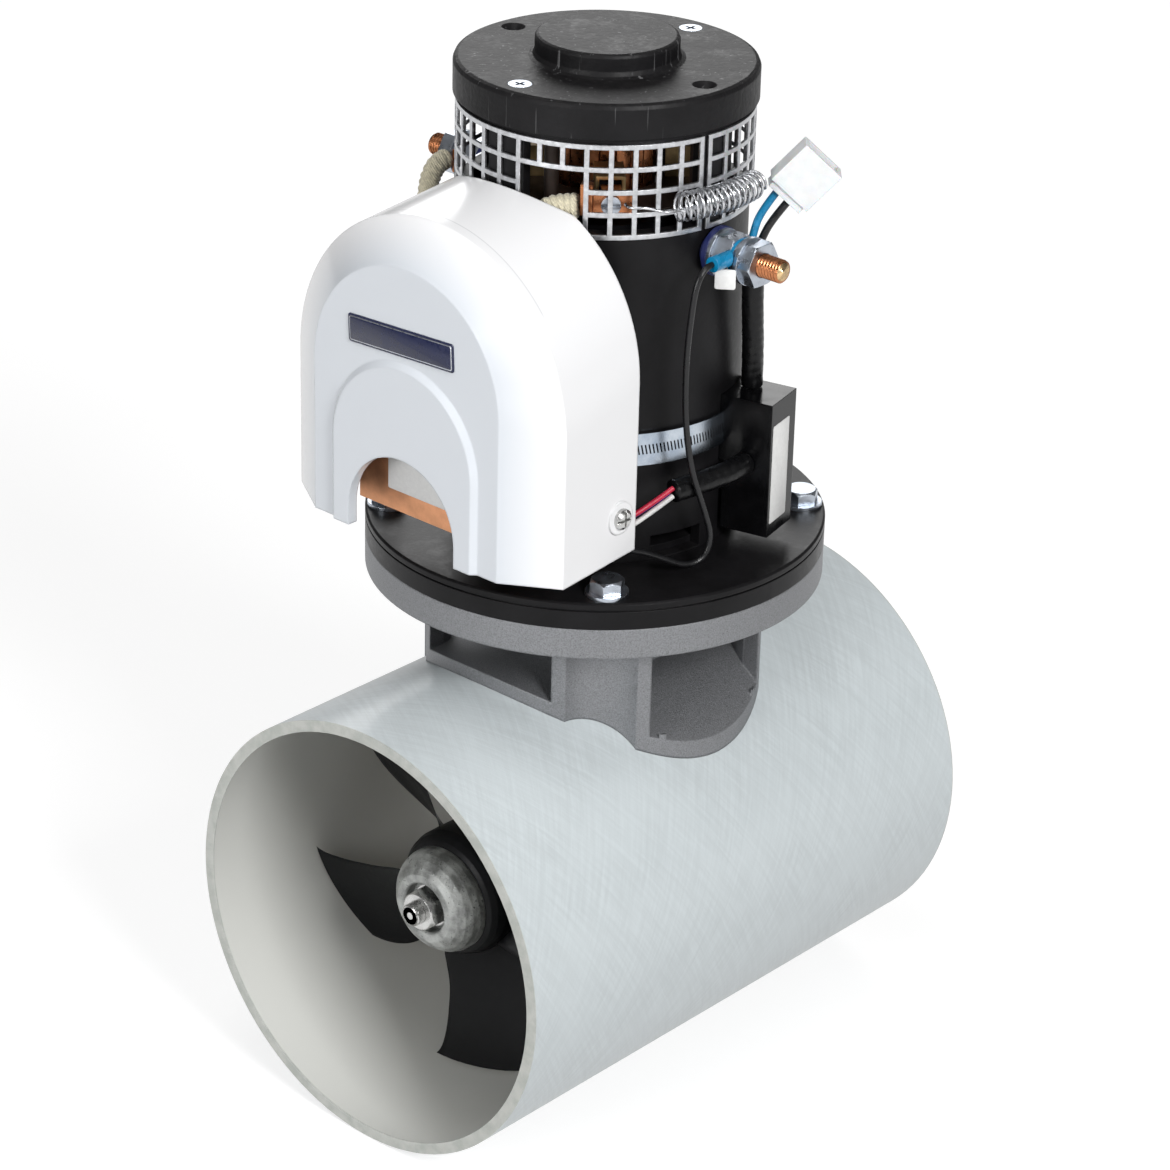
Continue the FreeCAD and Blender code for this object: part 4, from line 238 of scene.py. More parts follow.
def winding_group():
    """Crossed bundles of fibre wound round the tunnel's axis."""
    group, enter, leave = shader_group(
        "Wound fibre",
        [("Vector", "Vector", None), ("Radius", "Float", 0.0975), ("Pitch", "Float", 150.0)],
        [("Height", "Float"), ("Streak", "Float")])
    parts = node(group, "SeparateXYZ", {0: enter["Vector"]}).outputs
    angle = maths(group, "ARCTAN2", parts[0], parts[2])
    around = maths(group, "MULTIPLY", angle, enter["Radius"])
    layers = []
    for k, lean in enumerate((0.62, -0.62)):
        across = maths(group, "MULTIPLY_ADD", around, lean, parts[1])
        along = maths(group, "MULTIPLY_ADD", parts[1], -lean, around)
        fine = maths(group, "MULTIPLY", across, enter["Pitch"])
        slow = maths(group, "MULTIPLY", along, 16.0)
        placed = node(group, "CombineXYZ", {0: fine, 1: slow, 2: 3.7 * k})
        layers.append(node(group, "TexNoise", {"Vector": placed.outputs[0], "Scale": 1.6, "Detail": 4.0,
                                               "Roughness": 0.65}).outputs["Fac"])
    height = maths(group, "MAXIMUM", layers[0], layers[1])
    both = maths(group, "MULTIPLY", layers[0], layers[1])
    streak = node(group, "MapRange", {0: both, 1: 0.17, 2: 0.36})
    group.links.new(height, leave["Height"])
    group.links.new(streak.outputs[0], leave["Streak"])
    return group


GROUPS = {}


def build_groups():
    """Builds each shader group once."""
    GROUPS["cloud"] = cloud_group()
    GROUPS["grain"] = grain_group()
    GROUPS["streak"] = scratch_group()
    GROUPS["dust"] = dust_group()
    GROUPS["winding"] = winding_group()


# ---------------------------------------------------------------- finishes

class Finish:
    """One material: a Principled shader with the groups that feed it."""

    def __init__(self, name, base, roughness, metallic=0.0, **constants):
        self.material = bpy.data.materials.new(name)
        self.material.use_nodes = True
        self.tree = self.material.node_tree
        self.shader = self.tree.nodes["Principled BSDF"]
        self.vector = node(self.tree, "TexCoord").outputs["Object"]
        self.base = (*base, 1.0)
        self.shader.inputs["Base Color"].default_value = self.base
        self.shader.inputs["Roughness"].default_value = roughness
        self.shader.inputs["Metallic"].default_value = metallic
        for key, value in constants.items():
            self.shader.inputs[key.replace("_", " ")].default_value = value
        self.colour = None
        self.material.diffuse_color = self.base

    def group(self, key, **values):
        """Places a shared group with its own values."""
        placed = self.tree.nodes.new("ShaderNodeGroup")
        placed.node_tree = GROUPS[key]
        self.tree.links.new(self.vector, placed.inputs["Vector"])
        for label, value in values.items():
            placed.inputs[label].default_value = (*value, 1.0) if isinstance(value, tuple) else value
        return placed.outputs

    def mix(self, mask, upper):
        """Mixes a colour over what the finish has so far."""
        over = (*upper, 1.0) if isinstance(upper, tuple) else upper
        links = {0: mask, 6: self.colour or self.base, 7: over}
        self.colour = node(self.tree, "Mix", links, data_type="RGBA").outputs[2]
        self.tree.links.new(self.colour, self.shader.inputs["Base Color"])

    def mottle(self, dark, pale, scale, low=0.35, high=0.65):
        """Soft patches of two colours."""
        out = self.group("cloud", Scale=scale, Low=low, High=high, Dark=dark, Pale=pale)
        self.colour = out["Colour"]
        self.tree.links.new(self.colour, self.shader.inputs["Base Color"])
        return out["Mask"]

    def roughen(self, mask, smooth, rough):
        """Drives the roughness between two values by a mask."""
        spread = node(self.tree, "MapRange", {0: mask, 3: smooth, 4: rough})
        self.tree.links.new(spread.outputs[0], self.shader.inputs["Roughness"])

    def bump(self, height, distance, strength=1.0, edge=None):
        """Feeds a height into the normal; edge softens sharp corners."""
        links = {"Height": height, "Distance": distance, "Strength": strength}
        if edge is not None:
            links["Normal"] = node(self.tree, "Bevel", {"Radius": edge}, samples=4).outputs[0]
        made = node(self.tree, "Bump", links)
        self.tree.links.new(made.outputs[0], self.shader.inputs["Normal"])


def lighter(tone, factor):
    """A colour scaled in brightness."""
    return tuple(min(1.0, part * factor) for part in tone)


def laminate_finish():
    """Filament-wound outside, greyer cut rims and a smooth bore on one tube."""
    tone = tuple(colours().laminate)
    bore = tuple(colours().gelcoat)
    far_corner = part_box("tunnel")[1]
    outer, end = far_corner.x, far_corner.y
    finish = Finish("wound_laminate", tone, 0.42, Coat_Weight=0.25, Coat_Roughness=0.2)
    tree = finish.tree
    wound = finish.group("winding", Radius=outer, Pitch=260.0)
    clouds = finish.group("cloud", Scale=22.0, Low=0.3, High=0.7,
                          Dark=lighter(tone, 0.95), Pale=lighter(tone, 1.05))
    finish.colour = clouds["Colour"]
    finish.mix(wound["Streak"], lighter(tone, 1.10))
    parts = node(tree, "SeparateXYZ", {0: finish.vector}).outputs
    square = maths(tree, "MULTIPLY_ADD", parts[2], parts[2], maths(tree, "MULTIPLY", parts[0], parts[0]))
    radius = maths(tree, "SQRT", square)
    inside = node(tree, "MapRange", {0: radius, 1: outer - 0.0041, 2: outer - 0.0045}).outputs[0]
    finish.mix(inside, bore)
    reach = maths(tree, "ABSOLUTE", parts[1])
    rim = node(tree, "MapRange", {0: reach, 1: end - 0.0006, 2: end - 0.0002}).outputs[0]
    layers = finish.group("cloud", Scale=160.0, Low=0.35, High=0.6,
                          Dark=(0.40, 0.42, 0.39), Pale=(0.50, 0.51, 0.48))
    finish.mix(rim, layers["Colour"])
    outside = maths(tree, "SUBTRACT", 1.0, inside)
    height = maths(tree, "MULTIPLY", wound["Height"], outside)
    finish.roughen(inside, 0.46, 0.30)
    finish.bump(height, 0.0004, 0.4)
    return finish.material


def casting_finish():
    """Grit-blasted alloy with a sparkling grain."""
    tone = tuple(colours().casting)
    finish = Finish("blasted_alloy", tone, 0.52, 0.75)
    mask = finish.mottle(lighter(tone, 0.78), lighter(tone, 1.25), 1600.0, 0.36, 0.64)
    grain = finish.group("grain", Scale=1900.0, Coarse=0.5)
    finish.mix(grain["Pits"], lighter(tone, 0.5))
    finish.roughen(mask, 0.40, 0.62)
    finish.bump(grain["Height"], 0.00028, 0.9, 0.0012)
    return finish.material


def paint_finish(name, tone, rough, dust, grain_scale, depth, streaks=False):
    """Satin black paint with settled dust and, where asked, upright scratches."""
    finish = Finish(name, tone, rough, 0.0, Specular_IOR_Level=0.16)
    finish.mottle(lighter(tone, 0.35), lighter(tone, 0.65), 45.0)
    settled = finish.group("dust", Scale=300.0, Base=dust[0], Upward=dust[1])
    finish.mix(settled["Mask"], (0.30, 0.28, 0.27))
    if streaks:
        lines = finish.group("streak", Across=520.0, Along=18.0, Amount=0.66)
        faint = maths(finish.tree, "MULTIPLY", lines["Mask"], 0.22)
        finish.mix(faint, (0.45, 0.45, 0.46))
    grain = finish.group("grain", Scale=grain_scale, Coarse=1.0)
    finish.roughen(grain["Height"], rough - 0.1, rough + 0.12)
    finish.bump(grain["Height"], depth, 0.8, 0.0006)
    return finish.material


def cover_finish():
    """Glossy white moulding, darker and cooler on the face towards -Y as painted shade, with a faint dark
    line of painted shade across the crown.
    """
    tone = tuple(colours().cover)
    front_shade_colour = tuple(colours().cover_front_shade)
    side_ends, front_starts = -0.103, -0.1155
    line_place, line_half, crown_height = 0.0975, 0.0004, 0.285
    finish = Finish("cover_moulding", tone, 0.24, Coat_Weight=0.3, Coat_Roughness=0.12)
    tree = finish.tree
    parts = node(tree, "SeparateXYZ", {0: finish.vector}).outputs
    # Painted shade: blends the face towards -Y into the darker colour by position.
    front_shade_mask = node(tree, "MapRange", {0: parts[1], 1: side_ends, 2: front_starts}).outputs[0]
    finish.mix(front_shade_mask, front_shade_colour)
    grain = finish.group("grain", Scale=260.0, Coarse=0.6)
    # Painted shade: a faint dark line across the crown, standing in for the shade in a narrow recess there.
    away = maths(tree, "ABSOLUTE", maths(tree, "ADD", parts[1], line_place))
    line = node(tree, "MapRange", {0: away, 1: line_half, 2: 0.0001}).outputs[0]
    high = node(tree, "MapRange", {0: parts[2], 1: crown_height, 2: crown_height + 0.002}).outputs[0]
    crown_line_shade = maths(tree, "MULTIPLY", line, high)
    finish.mix(maths(tree, "MULTIPLY", crown_line_shade, 0.35), (0.35, 0.36, 0.38))
    finish.bump(grain["Height"], 0.00003, 0.5, 0.0012)
    return finish.material


def propeller_finish():
    """Satin black filled nylon."""
    tone = tuple(colours().propeller)
    finish = Finish("filled_nylon", tone, 0.34, Specular_IOR_Level=0.16)
    finish.mottle(lighter(tone, 0.35), lighter(tone, 0.6), 30.0)
    settled = finish.group("dust", Scale=260.0, Base=0.002, Upward=0.01)
    finish.mix(settled["Mask"], (0.30, 0.30, 0.31))
    grain = finish.group("grain", Scale=700.0, Coarse=0.8)
    finish.roughen(grain["Height"], 0.26, 0.46)
    finish.bump(grain["Height"], 0.00006, 0.6, 0.0008)
    return finish.material


def zinc_casting_finish():
    """Mottled cast zinc."""
    tone = tuple(colours().anode)
    finish = Finish("cast_zinc", tone, 0.5, 0.65)
    mask = finish.mottle(lighter(tone, 0.62), lighter(tone, 1.35), 150.0, 0.38, 0.62)
    grain = finish.group("grain", Scale=600.0, Coarse=1.0)
    finish.mix(grain["Pits"], lighter(tone, 0.35))
    finish.roughen(mask, 0.36, 0.62)
    finish.bump(grain["Height"], 0.0003, 0.8, 0.0010)
    return finish.material


def metal_finish(name, tone, rough, scale=240.0, contrast=0.8, depth=0.00003):
    """Plated or bare metal with soft patches and handling marks."""
    finish = Finish(name, tone, rough, 1.0)
    mask = finish.mottle(lighter(tone, contrast), lighter(tone, 1.12), scale, 0.3, 0.7)
    grain = finish.group("grain", Scale=scale * 5, Coarse=0.4)
    finish.roughen(mask, rough - 0.08, rough + 0.12)
    finish.bump(grain["Height"], depth, 0.7, 0.0005)
    return finish.material


def slotted_finish():
    """Bluish plated band with near-black slanted stripes, painted shade for the slot holes that its screw
    drives.
    """
    low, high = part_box("hose_clamp")
    finish = Finish("slotted_band", (0.42, 0.48, 0.55), 0.26, 1.0)
    tree = finish.tree
    finish.mottle((0.34, 0.40, 0.48), (0.52, 0.57, 0.63), 90.0)
    parts = node(tree, "SeparateXYZ", {0: finish.vector}).outputs
    along = maths(tree, "MULTIPLY", maths(tree, "ARCTAN2", parts[1], parts[0]), 38.0)
    slant = maths(tree, "MULTIPLY_ADD", parts[2], 120.0, along)
    slot_shade = maths(tree, "LESS_THAN", maths(tree, "FRACT", slant), 0.42)
    reach = maths(tree, "ABSOLUTE", maths(tree, "SUBTRACT", parts[2], (low.z + high.z) / 2))
    track = maths(tree, "LESS_THAN", reach, 0.0021)
    # Painted shade: near-black stripes where the slot holes show shade.
    finish.mix(maths(tree, "MULTIPLY", slot_shade, track), (0.012, 0.012, 0.014))
    return finish.material


def plain_finish(name, tone, rough, scale=300.0, spread=0.85, depth=0.00005, **constants):
    """Moulded or rubbery stuff with a slight mottle and a fine texture."""
    finish = Finish(name, tone, rough, 0.0, **constants)
    mask = finish.mottle(lighter(tone, spread), lighter(tone, 2.0 - spread), scale)
    grain = finish.group("grain", Scale=scale * 3, Coarse=0.5)
    finish.roughen(mask, rough - 0.05, rough + 0.1)
    finish.bump(grain["Height"], depth, 0.6, 0.0005)
    return finish.material


def woven_finish():
    """Cream cotton sleeve, darker in diagonal bands between its ribs as painted shade."""
    tone = tuple(colours().strap)
    finish = Finish("woven_sleeve", tone, 0.85, Sheen_Weight=0.35, Sheen_Roughness=0.5)
    tree = finish.tree
    finish.mottle(lighter(tone, 0.8), lighter(tone, 1.15), 700.0)
    waves = {"Vector": finish.vector, "Scale": 420.0, "Distortion": 1.5, "Detail": 2.0}
    weave_and_rib_shade = node(tree, "TexWave", waves, bands_direction="DIAGONAL")
    # Painted shade: the wave bands darken the colour as shade between the ribs; the same bands also drive the
    # bump.
    finish.mix(maths(tree, "MULTIPLY", weave_and_rib_shade.outputs["Fac"], 0.18), lighter(tone, 0.45))
    finish.bump(weave_and_rib_shade.outputs["Fac"], 0.0003, 0.7)
    return finish.material


PAINTED = {
    "laminate": ("tunnel",),
    "casting": ("saddle_bracket", "coupling_upper", "coupling_lower"),
    "motor": ("motor_body",),
    "plate": ("base_plate",),
    "cap": ("end_cap",),
    "cover": ("contactor_cover",),
    "propeller": ("propeller",),
    "anode": ("anode",),
    "galvanised": ("mesh_band",),
    "spring": ("band_spring",),
    "copper": ("terminal_studs", "copper_lugs", "commutator", "contactor_terminals"),
    "zinc": ("stud_nuts", "stud_washers", "cap_screws", "lead_screw", "base_bolts", "base_washers"),
    "slotted": ("hose_clamp",),
    "stainless": ("cover_screws", "leg_screws", "prop_nut", "prop_washer", "prop_shaft", "drive_pin",
                  "motor_shaft", "pinion_shaft", "bevel_gear", "motor_bearings", "leg_bearings",
                  "plunger_left", "plunger_right"),
    "bronze": ("gear_leg", "leg_end_cap", "brush_holders"),
    "passivated": ("contactor_frame", "contactor_bracket"),
    "black_plastic": ("relay_box",),
    "black_moulding": ("contactor_housing", "contactor_coils", "brushes"),
    "insulator": ("stud_insulators",),
    "blue_vinyl": ("ring_terminal",),
    "nylon": ("connector_plug",),
    "black_rubber": ("relay_sleeves", "shaft_seals", "coupling_spider"),
    "cork": ("leg_gasket",),
    "phenolic": ("brush_ring",),
    "laminations": ("armature", "field_poles"),
    "winding": ("field_coils",),
    "grey_wire": ("loop_wire",),
    "red_wire": ("control_wires",),
    "blue_wire": ("plug_leads",),
    "strap": ("power_straps",),
}

FINISHES = {}


def build_finishes():
    """Makes every finish once."""
    tones = colours()
    FINISHES["laminate"] = laminate_finish()
    FINISHES["casting"] = casting_finish()
    black = tuple(tones.black_paint)
    FINISHES["motor"] = paint_finish("motor_paint", black, 0.30, (0.002, 0.02), 500.0, 0.00005)
    FINISHES["plate"] = paint_finish("plate_paint", black, 0.26, (0.002, 0.012), 700.0, 0.00004)
    FINISHES["cap"] = paint_finish("cap_paint", tuple(tones.cap_paint), 0.36, (0.004, 0.03), 420.0, 0.00022,
                                   streaks=True)
    FINISHES["cover"] = cover_finish()
    FINISHES["propeller"] = propeller_finish()
    FINISHES["anode"] = zinc_casting_finish()
    FINISHES["galvanised"] = metal_finish("galvanised_sheet", (0.62, 0.63, 0.65), 0.36, 420.0, 0.7)
    FINISHES["spring"] = metal_finish("spring_wire", (0.60, 0.61, 0.63), 0.26, 300.0, 0.75)
    FINISHES["copper"] = metal_finish("bare_copper", tuple(tones.copper), 0.30, 350.0, 0.6)
    FINISHES["zinc"] = metal_finish("zinc_plate", tuple(tones.zinc), 0.30, 160.0, 0.75)
    FINISHES["stainless"] = metal_finish("stainless", (0.58, 0.58, 0.57), 0.24, 200.0, 0.8)
    FINISHES["slotted"] = slotted_finish()
    FINISHES["bronze"] = metal_finish("cast_bronze", (0.42, 0.30, 0.15), 0.42, 120.0, 0.7, 0.0002)
    FINISHES["passivated"] = metal_finish("copper_passivate", (0.62, 0.30, 0.16), 0.34, 90.0, 0.7)
    FINISHES["black_plastic"] = plain_finish("relay_case", (0.003, 0.003, 0.0035), 0.16, 120.0, 0.8, 0.00002,
                                             Specular_IOR_Level=0.22)
    FINISHES["black_moulding"] = plain_finish("black_moulding", (0.006, 0.006, 0.0065), 0.45,
                                              Specular_IOR_Level=0.2)
    FINISHES["insulator"] = plain_finish("blue_insulator", (0.010, 0.016, 0.085), 0.42)
    FINISHES["blue_vinyl"] = plain_finish("blue_vinyl", (0.002, 0.19, 0.38), 0.26)
    FINISHES["nylon"] = plain_finish("milky_nylon", (0.74, 0.75, 0.76), 0.38, 200.0, 0.96,
                                     Subsurface_Weight=0.25, Subsurface_Scale=0.004)
    FINISHES["black_rubber"] = plain_finish("black_sleeving", (0.004, 0.004, 0.0045), 0.30,
                                            Specular_IOR_Level=0.25)
    FINISHES["cork"] = plain_finish("cork_sheet", (0.16, 0.10, 0.05), 0.9, 900.0, 0.6)
    FINISHES["phenolic"] = plain_finish("phenolic_board", (0.022, 0.012, 0.008), 0.6)
    FINISHES["laminations"] = metal_finish("laminations", (0.035, 0.035, 0.04), 0.5)
    FINISHES["winding"] = metal_finish("enamelled_winding", (0.10, 0.026, 0.010), 0.35)
    FINISHES["grey_wire"] = plain_finish("dark_grey_wire", (0.007, 0.007, 0.008), 0.30,
                                         Specular_IOR_Level=0.4)
    FINISHES["red_wire"] = plain_finish("red_wire", (0.50, 0.008, 0.04), 0.34)
    FINISHES["white_wire"] = plain_finish("white_wire", (0.66, 0.66, 0.65), 0.34)
    FINISHES["violet_wire"] = plain_finish("violet_wire", (0.16, 0.05, 0.30), 0.34)
    FINISHES["blue_wire"] = plain_finish("blue_wire", (0.002, 0.20, 0.40), 0.30)
    FINISHES["black_wire"] = plain_finish("black_wire", (0.004, 0.004, 0.0045), 0.30)
    FINISHES["strap"] = woven_finish()
    FINISHES["paper"] = plain_finish("white_label", (0.74, 0.74, 0.73), 0.55, 500.0, 0.96, 0.00002)
    FINISHES["badge_field"] = plain_finish("navy_enamel", (0.006, 0.010, 0.045), 0.25, 200.0, 0.9, 0.00001)
    FINISHES["brass_face"] = metal_finish("cut_copper", (0.85, 0.60, 0.32), 0.28, 500.0, 0.8)
    FINISHES["badge_line"] = metal_finish("badge_line", (0.62, 0.64, 0.68), 0.3)


# ---------------------------------------------------------------- mesh helpers

def piece(name, mesh, finish, body="housing", node_names=()):
    """Links a mesh as a piece, with its finish, and lets it ride on a body."""
    obj = bpy.data.objects.new(name, mesh)
    bpy.context.scene.collection.objects.link(obj)
    mesh.materials.append(FINISHES[finish])
    mesh.shade_smooth()
    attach(obj, body)
    if node_names:
        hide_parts(*node_names)
    return obj


def mesh_from(verts, faces, name):
    """A mesh from plain lists."""
    mesh = bpy.data.meshes.new(name)
    mesh.from_pydata([tuple(v) for v in verts], [], faces)
    mesh.validate()
    mesh.update()
    return mesh


def skin(rings, name):
    """A closed mesh over rings of equal count, with a flat face at each end."""
    steps = len(rings[0])
    last = (len(rings) - 1) * steps
    faces = []
    for i in range(len(rings) - 1):
        for k in range(steps):
            a, b = i * steps + k, i * steps + (k + 1) % steps
            faces.append((a, b, b + steps, a + steps))
    faces.append(tuple(reversed(range(steps))))
    faces.append(tuple(range(last, last + steps)))
    return mesh_from([v for ring in rings for v in ring], faces, name)


def threaded_rod(name, start, axis, length_along, radius, smooth_length):
    """A rod whose far end carries a cut thread and a chamfer."""
    chamfer = 0.0006
    pitch = sizes().thread_pitch
    depth = sizes().thread_depth
    steps = sizes().thread_steps
    axis = Vector(axis).normalized()
    side = axis.orthogonal().normalized()
    up = axis.cross(side)
    rings = []
    threaded = length_along - smooth_length
    count = max(2, int(threaded / pitch * 8))
    stations = [0.0, smooth_length * 0.999]
    stations += [smooth_length + threaded * i / count for i in range(count + 1)]
    for station in stations:
        ring = []
        for k in range(steps):
            turn = 2 * math.pi * k / steps
            reach = radius
            if station >= smooth_length:
                phase = ((station - smooth_length) / pitch - k / steps) % 1.0
                reach = radius - depth * (1 - abs(2 * phase - 1)) ** 0.8
                reach = min(reach, radius - chamfer + (length_along - station))
            outward = side * math.cos(turn) + up * math.sin(turn)
            ring.append(Vector(start) + axis * station + outward * reach)
        rings.append(ring)
    return skin(rings, name)


def cable_curve(name, points, diameter, finish):
    """A smooth cable: one NURBS spline led by its route's points, in millimetres."""
    data = bpy.data.curves.new(name, "CURVE")
    data.dimensions = "3D"
    data.bevel_depth = diameter / 2
    data.bevel_resolution = 5
    data.use_fill_caps = True
    data.resolution_u = 12
    spline = data.splines.new("NURBS")
    spline.points.add(len(points) - 1)
    for spot, place in zip(spline.points, points):
        spot.co = (*[c * MM for c in place], 1.0)
    spline.order_u = 3
    spline.use_endpoint_u = True
    obj = bpy.data.objects.new(name, data)
    bpy.context.scene.collection.objects.link(obj)
    data.materials.append(FINISHES[finish])
    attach(obj, "housing")
    return obj


def route_length(obj):
    """The length of a cable's own line, and the points along it."""
    data = obj.data.copy()
    data.bevel_depth = 0
    ghost = bpy.data.objects.new("ghost", data)
    mesh = bpy.data.meshes.new_from_object(ghost)
    places = [v.co.copy() for v in mesh.vertices]
    bpy.data.objects.remove(ghost)
    bpy.data.meshes.remove(mesh)
    bpy.data.curves.remove(data)
    return sum((b - a).length for a, b in zip(places, places[1:])), places


def ribbed_tube(name, places, radius, pitch, depth=0.12):
    """A sleeve: rings along a line whose radius swells at every rib."""
    steps = 28
    rings = []
    lengths = [0.0]
    for a, b in zip(places, places[1:]):
        lengths.append(lengths[-1] + (b - a).length)
    total = lengths[-1]
    count = int(total / pitch * 8)
    cursor = 0
    normal = (places[1] - places[0]).orthogonal().normalized()
    for i in range(count + 1):
        target = total * i / count
        while cursor < len(lengths) - 2 and lengths[cursor + 1] < target:
            cursor += 1
        share = (target - lengths[cursor]) / max(1e-9, lengths[cursor + 1] - lengths[cursor])
        centre = places[cursor].lerp(places[cursor + 1], share)
        ahead = (places[cursor + 1] - places[cursor]).normalized()
        normal = (normal - ahead * normal.dot(ahead)).normalized()
        across = ahead.cross(normal)
        ring = []
        for k in range(steps):
            turn = 2 * math.pi * k / steps
            wave = abs(math.sin(math.pi * target / pitch + 0.35 * math.sin(turn * 2)))
            cord = 0.5 + 0.5 * math.sin(turn * 9 + target / pitch * 2.2)
            reach = radius * (1 - depth * (1 - wave) - 0.03 * cord)
            ring.append(centre + (normal * math.cos(turn) + across * math.sin(turn)) * reach)
        rings.append(ring)
    return skin(rings, name)


def rounded_plate(name, width, height, thickness, corner, matrix):
    """A thin plate with rounded corners and a small raised edge bevel."""
    made = bmesh.new()
    outline = []
    for cx, cy, start in ((1, 1, 0), (-1, 1, 90), (-1, -1, 180), (1, -1, 270)):
        for step in range(7):
            turn = math.radians(start + 15 * step)
            outline.append(made.verts.new((cx * (width / 2 - corner) + corner * math.cos(turn),
                                           cy * (height / 2 - corner) + corner * math.sin(turn), 0)))
    face = made.faces.new(outline)
    lifted = bmesh.ops.extrude_face_region(made, geom=[face])
    top = [item for item in lifted["geom"] if isinstance(item, bmesh.types.BMVert)]
    bmesh.ops.translate(made, verts=top, vec=(0, 0, thickness))
    rim = [e for e in made.edges if all(v in top for v in e.verts)]
    bmesh.ops.bevel(made, geom=rim, offset=thickness * 0.4, segments=2, affect="EDGES", profile=0.6)
    bmesh.ops.recalc_face_normals(made, faces=made.faces)
    made.transform(matrix)
    mesh = bpy.data.meshes.new(name)
    made.to_mesh(mesh)
    made.free()
    return mesh


def frame_matrix(origin, right, up):
    """A matrix whose X and Y are right and up, placed at origin in millimetres."""
    right = Vector(right).normalized()
    up = (Vector(up) - right * Vector(up).dot(right)).normalized()
    out = right.cross(up)
    place = Vector(origin) * MM
    return Matrix(((right.x, up.x, out.x, place.x), (right.y, up.y, out.y, place.y),
                   (right.z, up.z, out.z, place.z), (0, 0, 0, 1)))


# ---------------------------------------------------------------- routes, the same as the solids'

LEFT_STRAP = [(-79.4, -10.7, 293.7), (-79.4, -21, 293.7), (-77, -25, 266), (-55, -58, 259),
              (-41.6, -90, 277)]
RIGHT_STRAP = [(28.7, -48, 310.8), (18.6, -53, 309.9), (14.6, -65.5, 302), (2.5, -72.4, 293.5),
               (0, -71.4, 277.1)]
LOOP_WIRE = [(75.1, -19.2, 290.9), (75.1, -27.5, 290.9), (72, -28.5, 262), (71, -28, 242), (71.2, -27, 222),
             (72.5, -24, 202), (75, -18, 184), (77, -14.5, 170), (76, -18, 161.5), (73, -26, 160),
             (69, -35, 165), (65, -45, 170.5), (61, -58, 174.5), (53, -73, 178), (44, -79, 186),
             (35, -84.5, 191)]
UP_SLEEVE = [(62.5, 25, 222.9), (64, 23, 240), (66.5, 18, 262), (67.5, 16, 286)]
SIDE_SLEEVE = [(71.3, 11.4, 194), (72.6, 4.6, 193.7), (69.8, -11, 192.8), (66, -27, 191.9)]
RED_WIRE = [(66.6, -28, 193.8), (64, -38, 189), (58, -56, 181.8), (49, -70, 184.6), (33.6, -79, 194)]
LOWER_WIRE = [(64.4, -28.1, 191), (61.5, -38, 186.5), (55.5, -56, 179.5), (46.5, -67.5, 182.5),
              (33, -76.6, 190)]
OUTER_WIRE = [(66.6, -28, 190.2), (64.2, -38, 185.5), (59.5, -55, 178.5), (51.5, -70, 181.5),
              (34, -81.4, 188)]
BLUE_LEAD = [(66.6, 14.8, 286.8), (66.4, 16.8, 293), (66.6, 20.5, 300.5), (69.5, 26.5, 308.3)]
BLACK_LEAD = [(68.6, 17.8, 286.8), (69.2, 20, 292), (70.6, 24, 298), (73.1, 29.2, 304.25)]


# ---------------------------------------------------------------- operators

class THRUSTER_OT_finishes(bpy.types.Operator):
    """Builds the finishes and gives one to every solid"""

    bl_idname = "thruster.finishes"
    bl_label = "Finishes"

    def execute(self, context):
        build_groups()
        build_finishes()
        dressed = set()
        for finish, names in PAINTED.items():
            for name in names:
                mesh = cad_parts[name].data
                mesh.materials.clear()
                mesh.materials.append(FINISHES[finish])
                dressed.add(name)
        bare = sorted(set(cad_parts) - dressed)
        if bare:
            raise RuntimeError(f"no finish for {bare}")
        return {"FINISHED"}


class THRUSTER_OT_studs(bpy.types.Operator):
    """Cuts threads on the terminal studs and the propeller shaft"""

    bl_idname = "thruster.studs"
    bl_label = "Threaded ends"

    def execute(self, context):
        low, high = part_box("terminal_studs")
        root, thread_start, radius = 0.047, 0.078, 0.005
        face, face_corner = 0.0076, 0.0037
        for side, height, name in ((1, low.z + radius, "stud_right"), (-1, high.z - radius, "stud_left")):
            start = (root * side, 0, height)
            mesh = threaded_rod(name, start, (side, 0, 0), high.x - root, radius, thread_start - root)
            piece(name, mesh, "copper", node_names=("terminal_studs",))
            place = frame_matrix((side * high.x / MM, 0, height / MM), (0, side, 0), (0, 0, 1))
            cut = rounded_plate(name + "_face", face, face, 0.0001, face_corner, place)
            piece(name + "_face", cut, "brass_face")
        shaft_radius, shaft_end = 0.00502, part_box("prop_shaft")[0].y
        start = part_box("prop_nut")[0].y + 0.004
        tip = threaded_rod("shaft_thread", (0, start, 0), (0, -1, 0), start - shaft_end, shaft_radius, 0.001)
        piece("shaft_thread", tip, "stainless", body="propeller_shaft")
        return {"FINISHED"}


class THRUSTER_OT_straps(bpy.types.Operator):
    """Weaves the two power straps"""

    bl_idname = "thruster.straps"
    bl_label = "Power straps"

    def execute(self, context):
        diameter = 0.009
        for name, route, bulge in (("strap_left", LEFT_STRAP, 1.0), ("strap_right", RIGHT_STRAP, 1.2)):
            guide = cable_curve(name + "_line", route, diameter, "strap")
            total, places = route_length(guide)
            bpy.data.objects.remove(guide)
            mesh = ribbed_tube(name, places, diameter / 2 * bulge, sizes().rib_pitch)
            made = piece(name, mesh, "strap", node_names=("power_straps",))
        return {"FINISHED"}


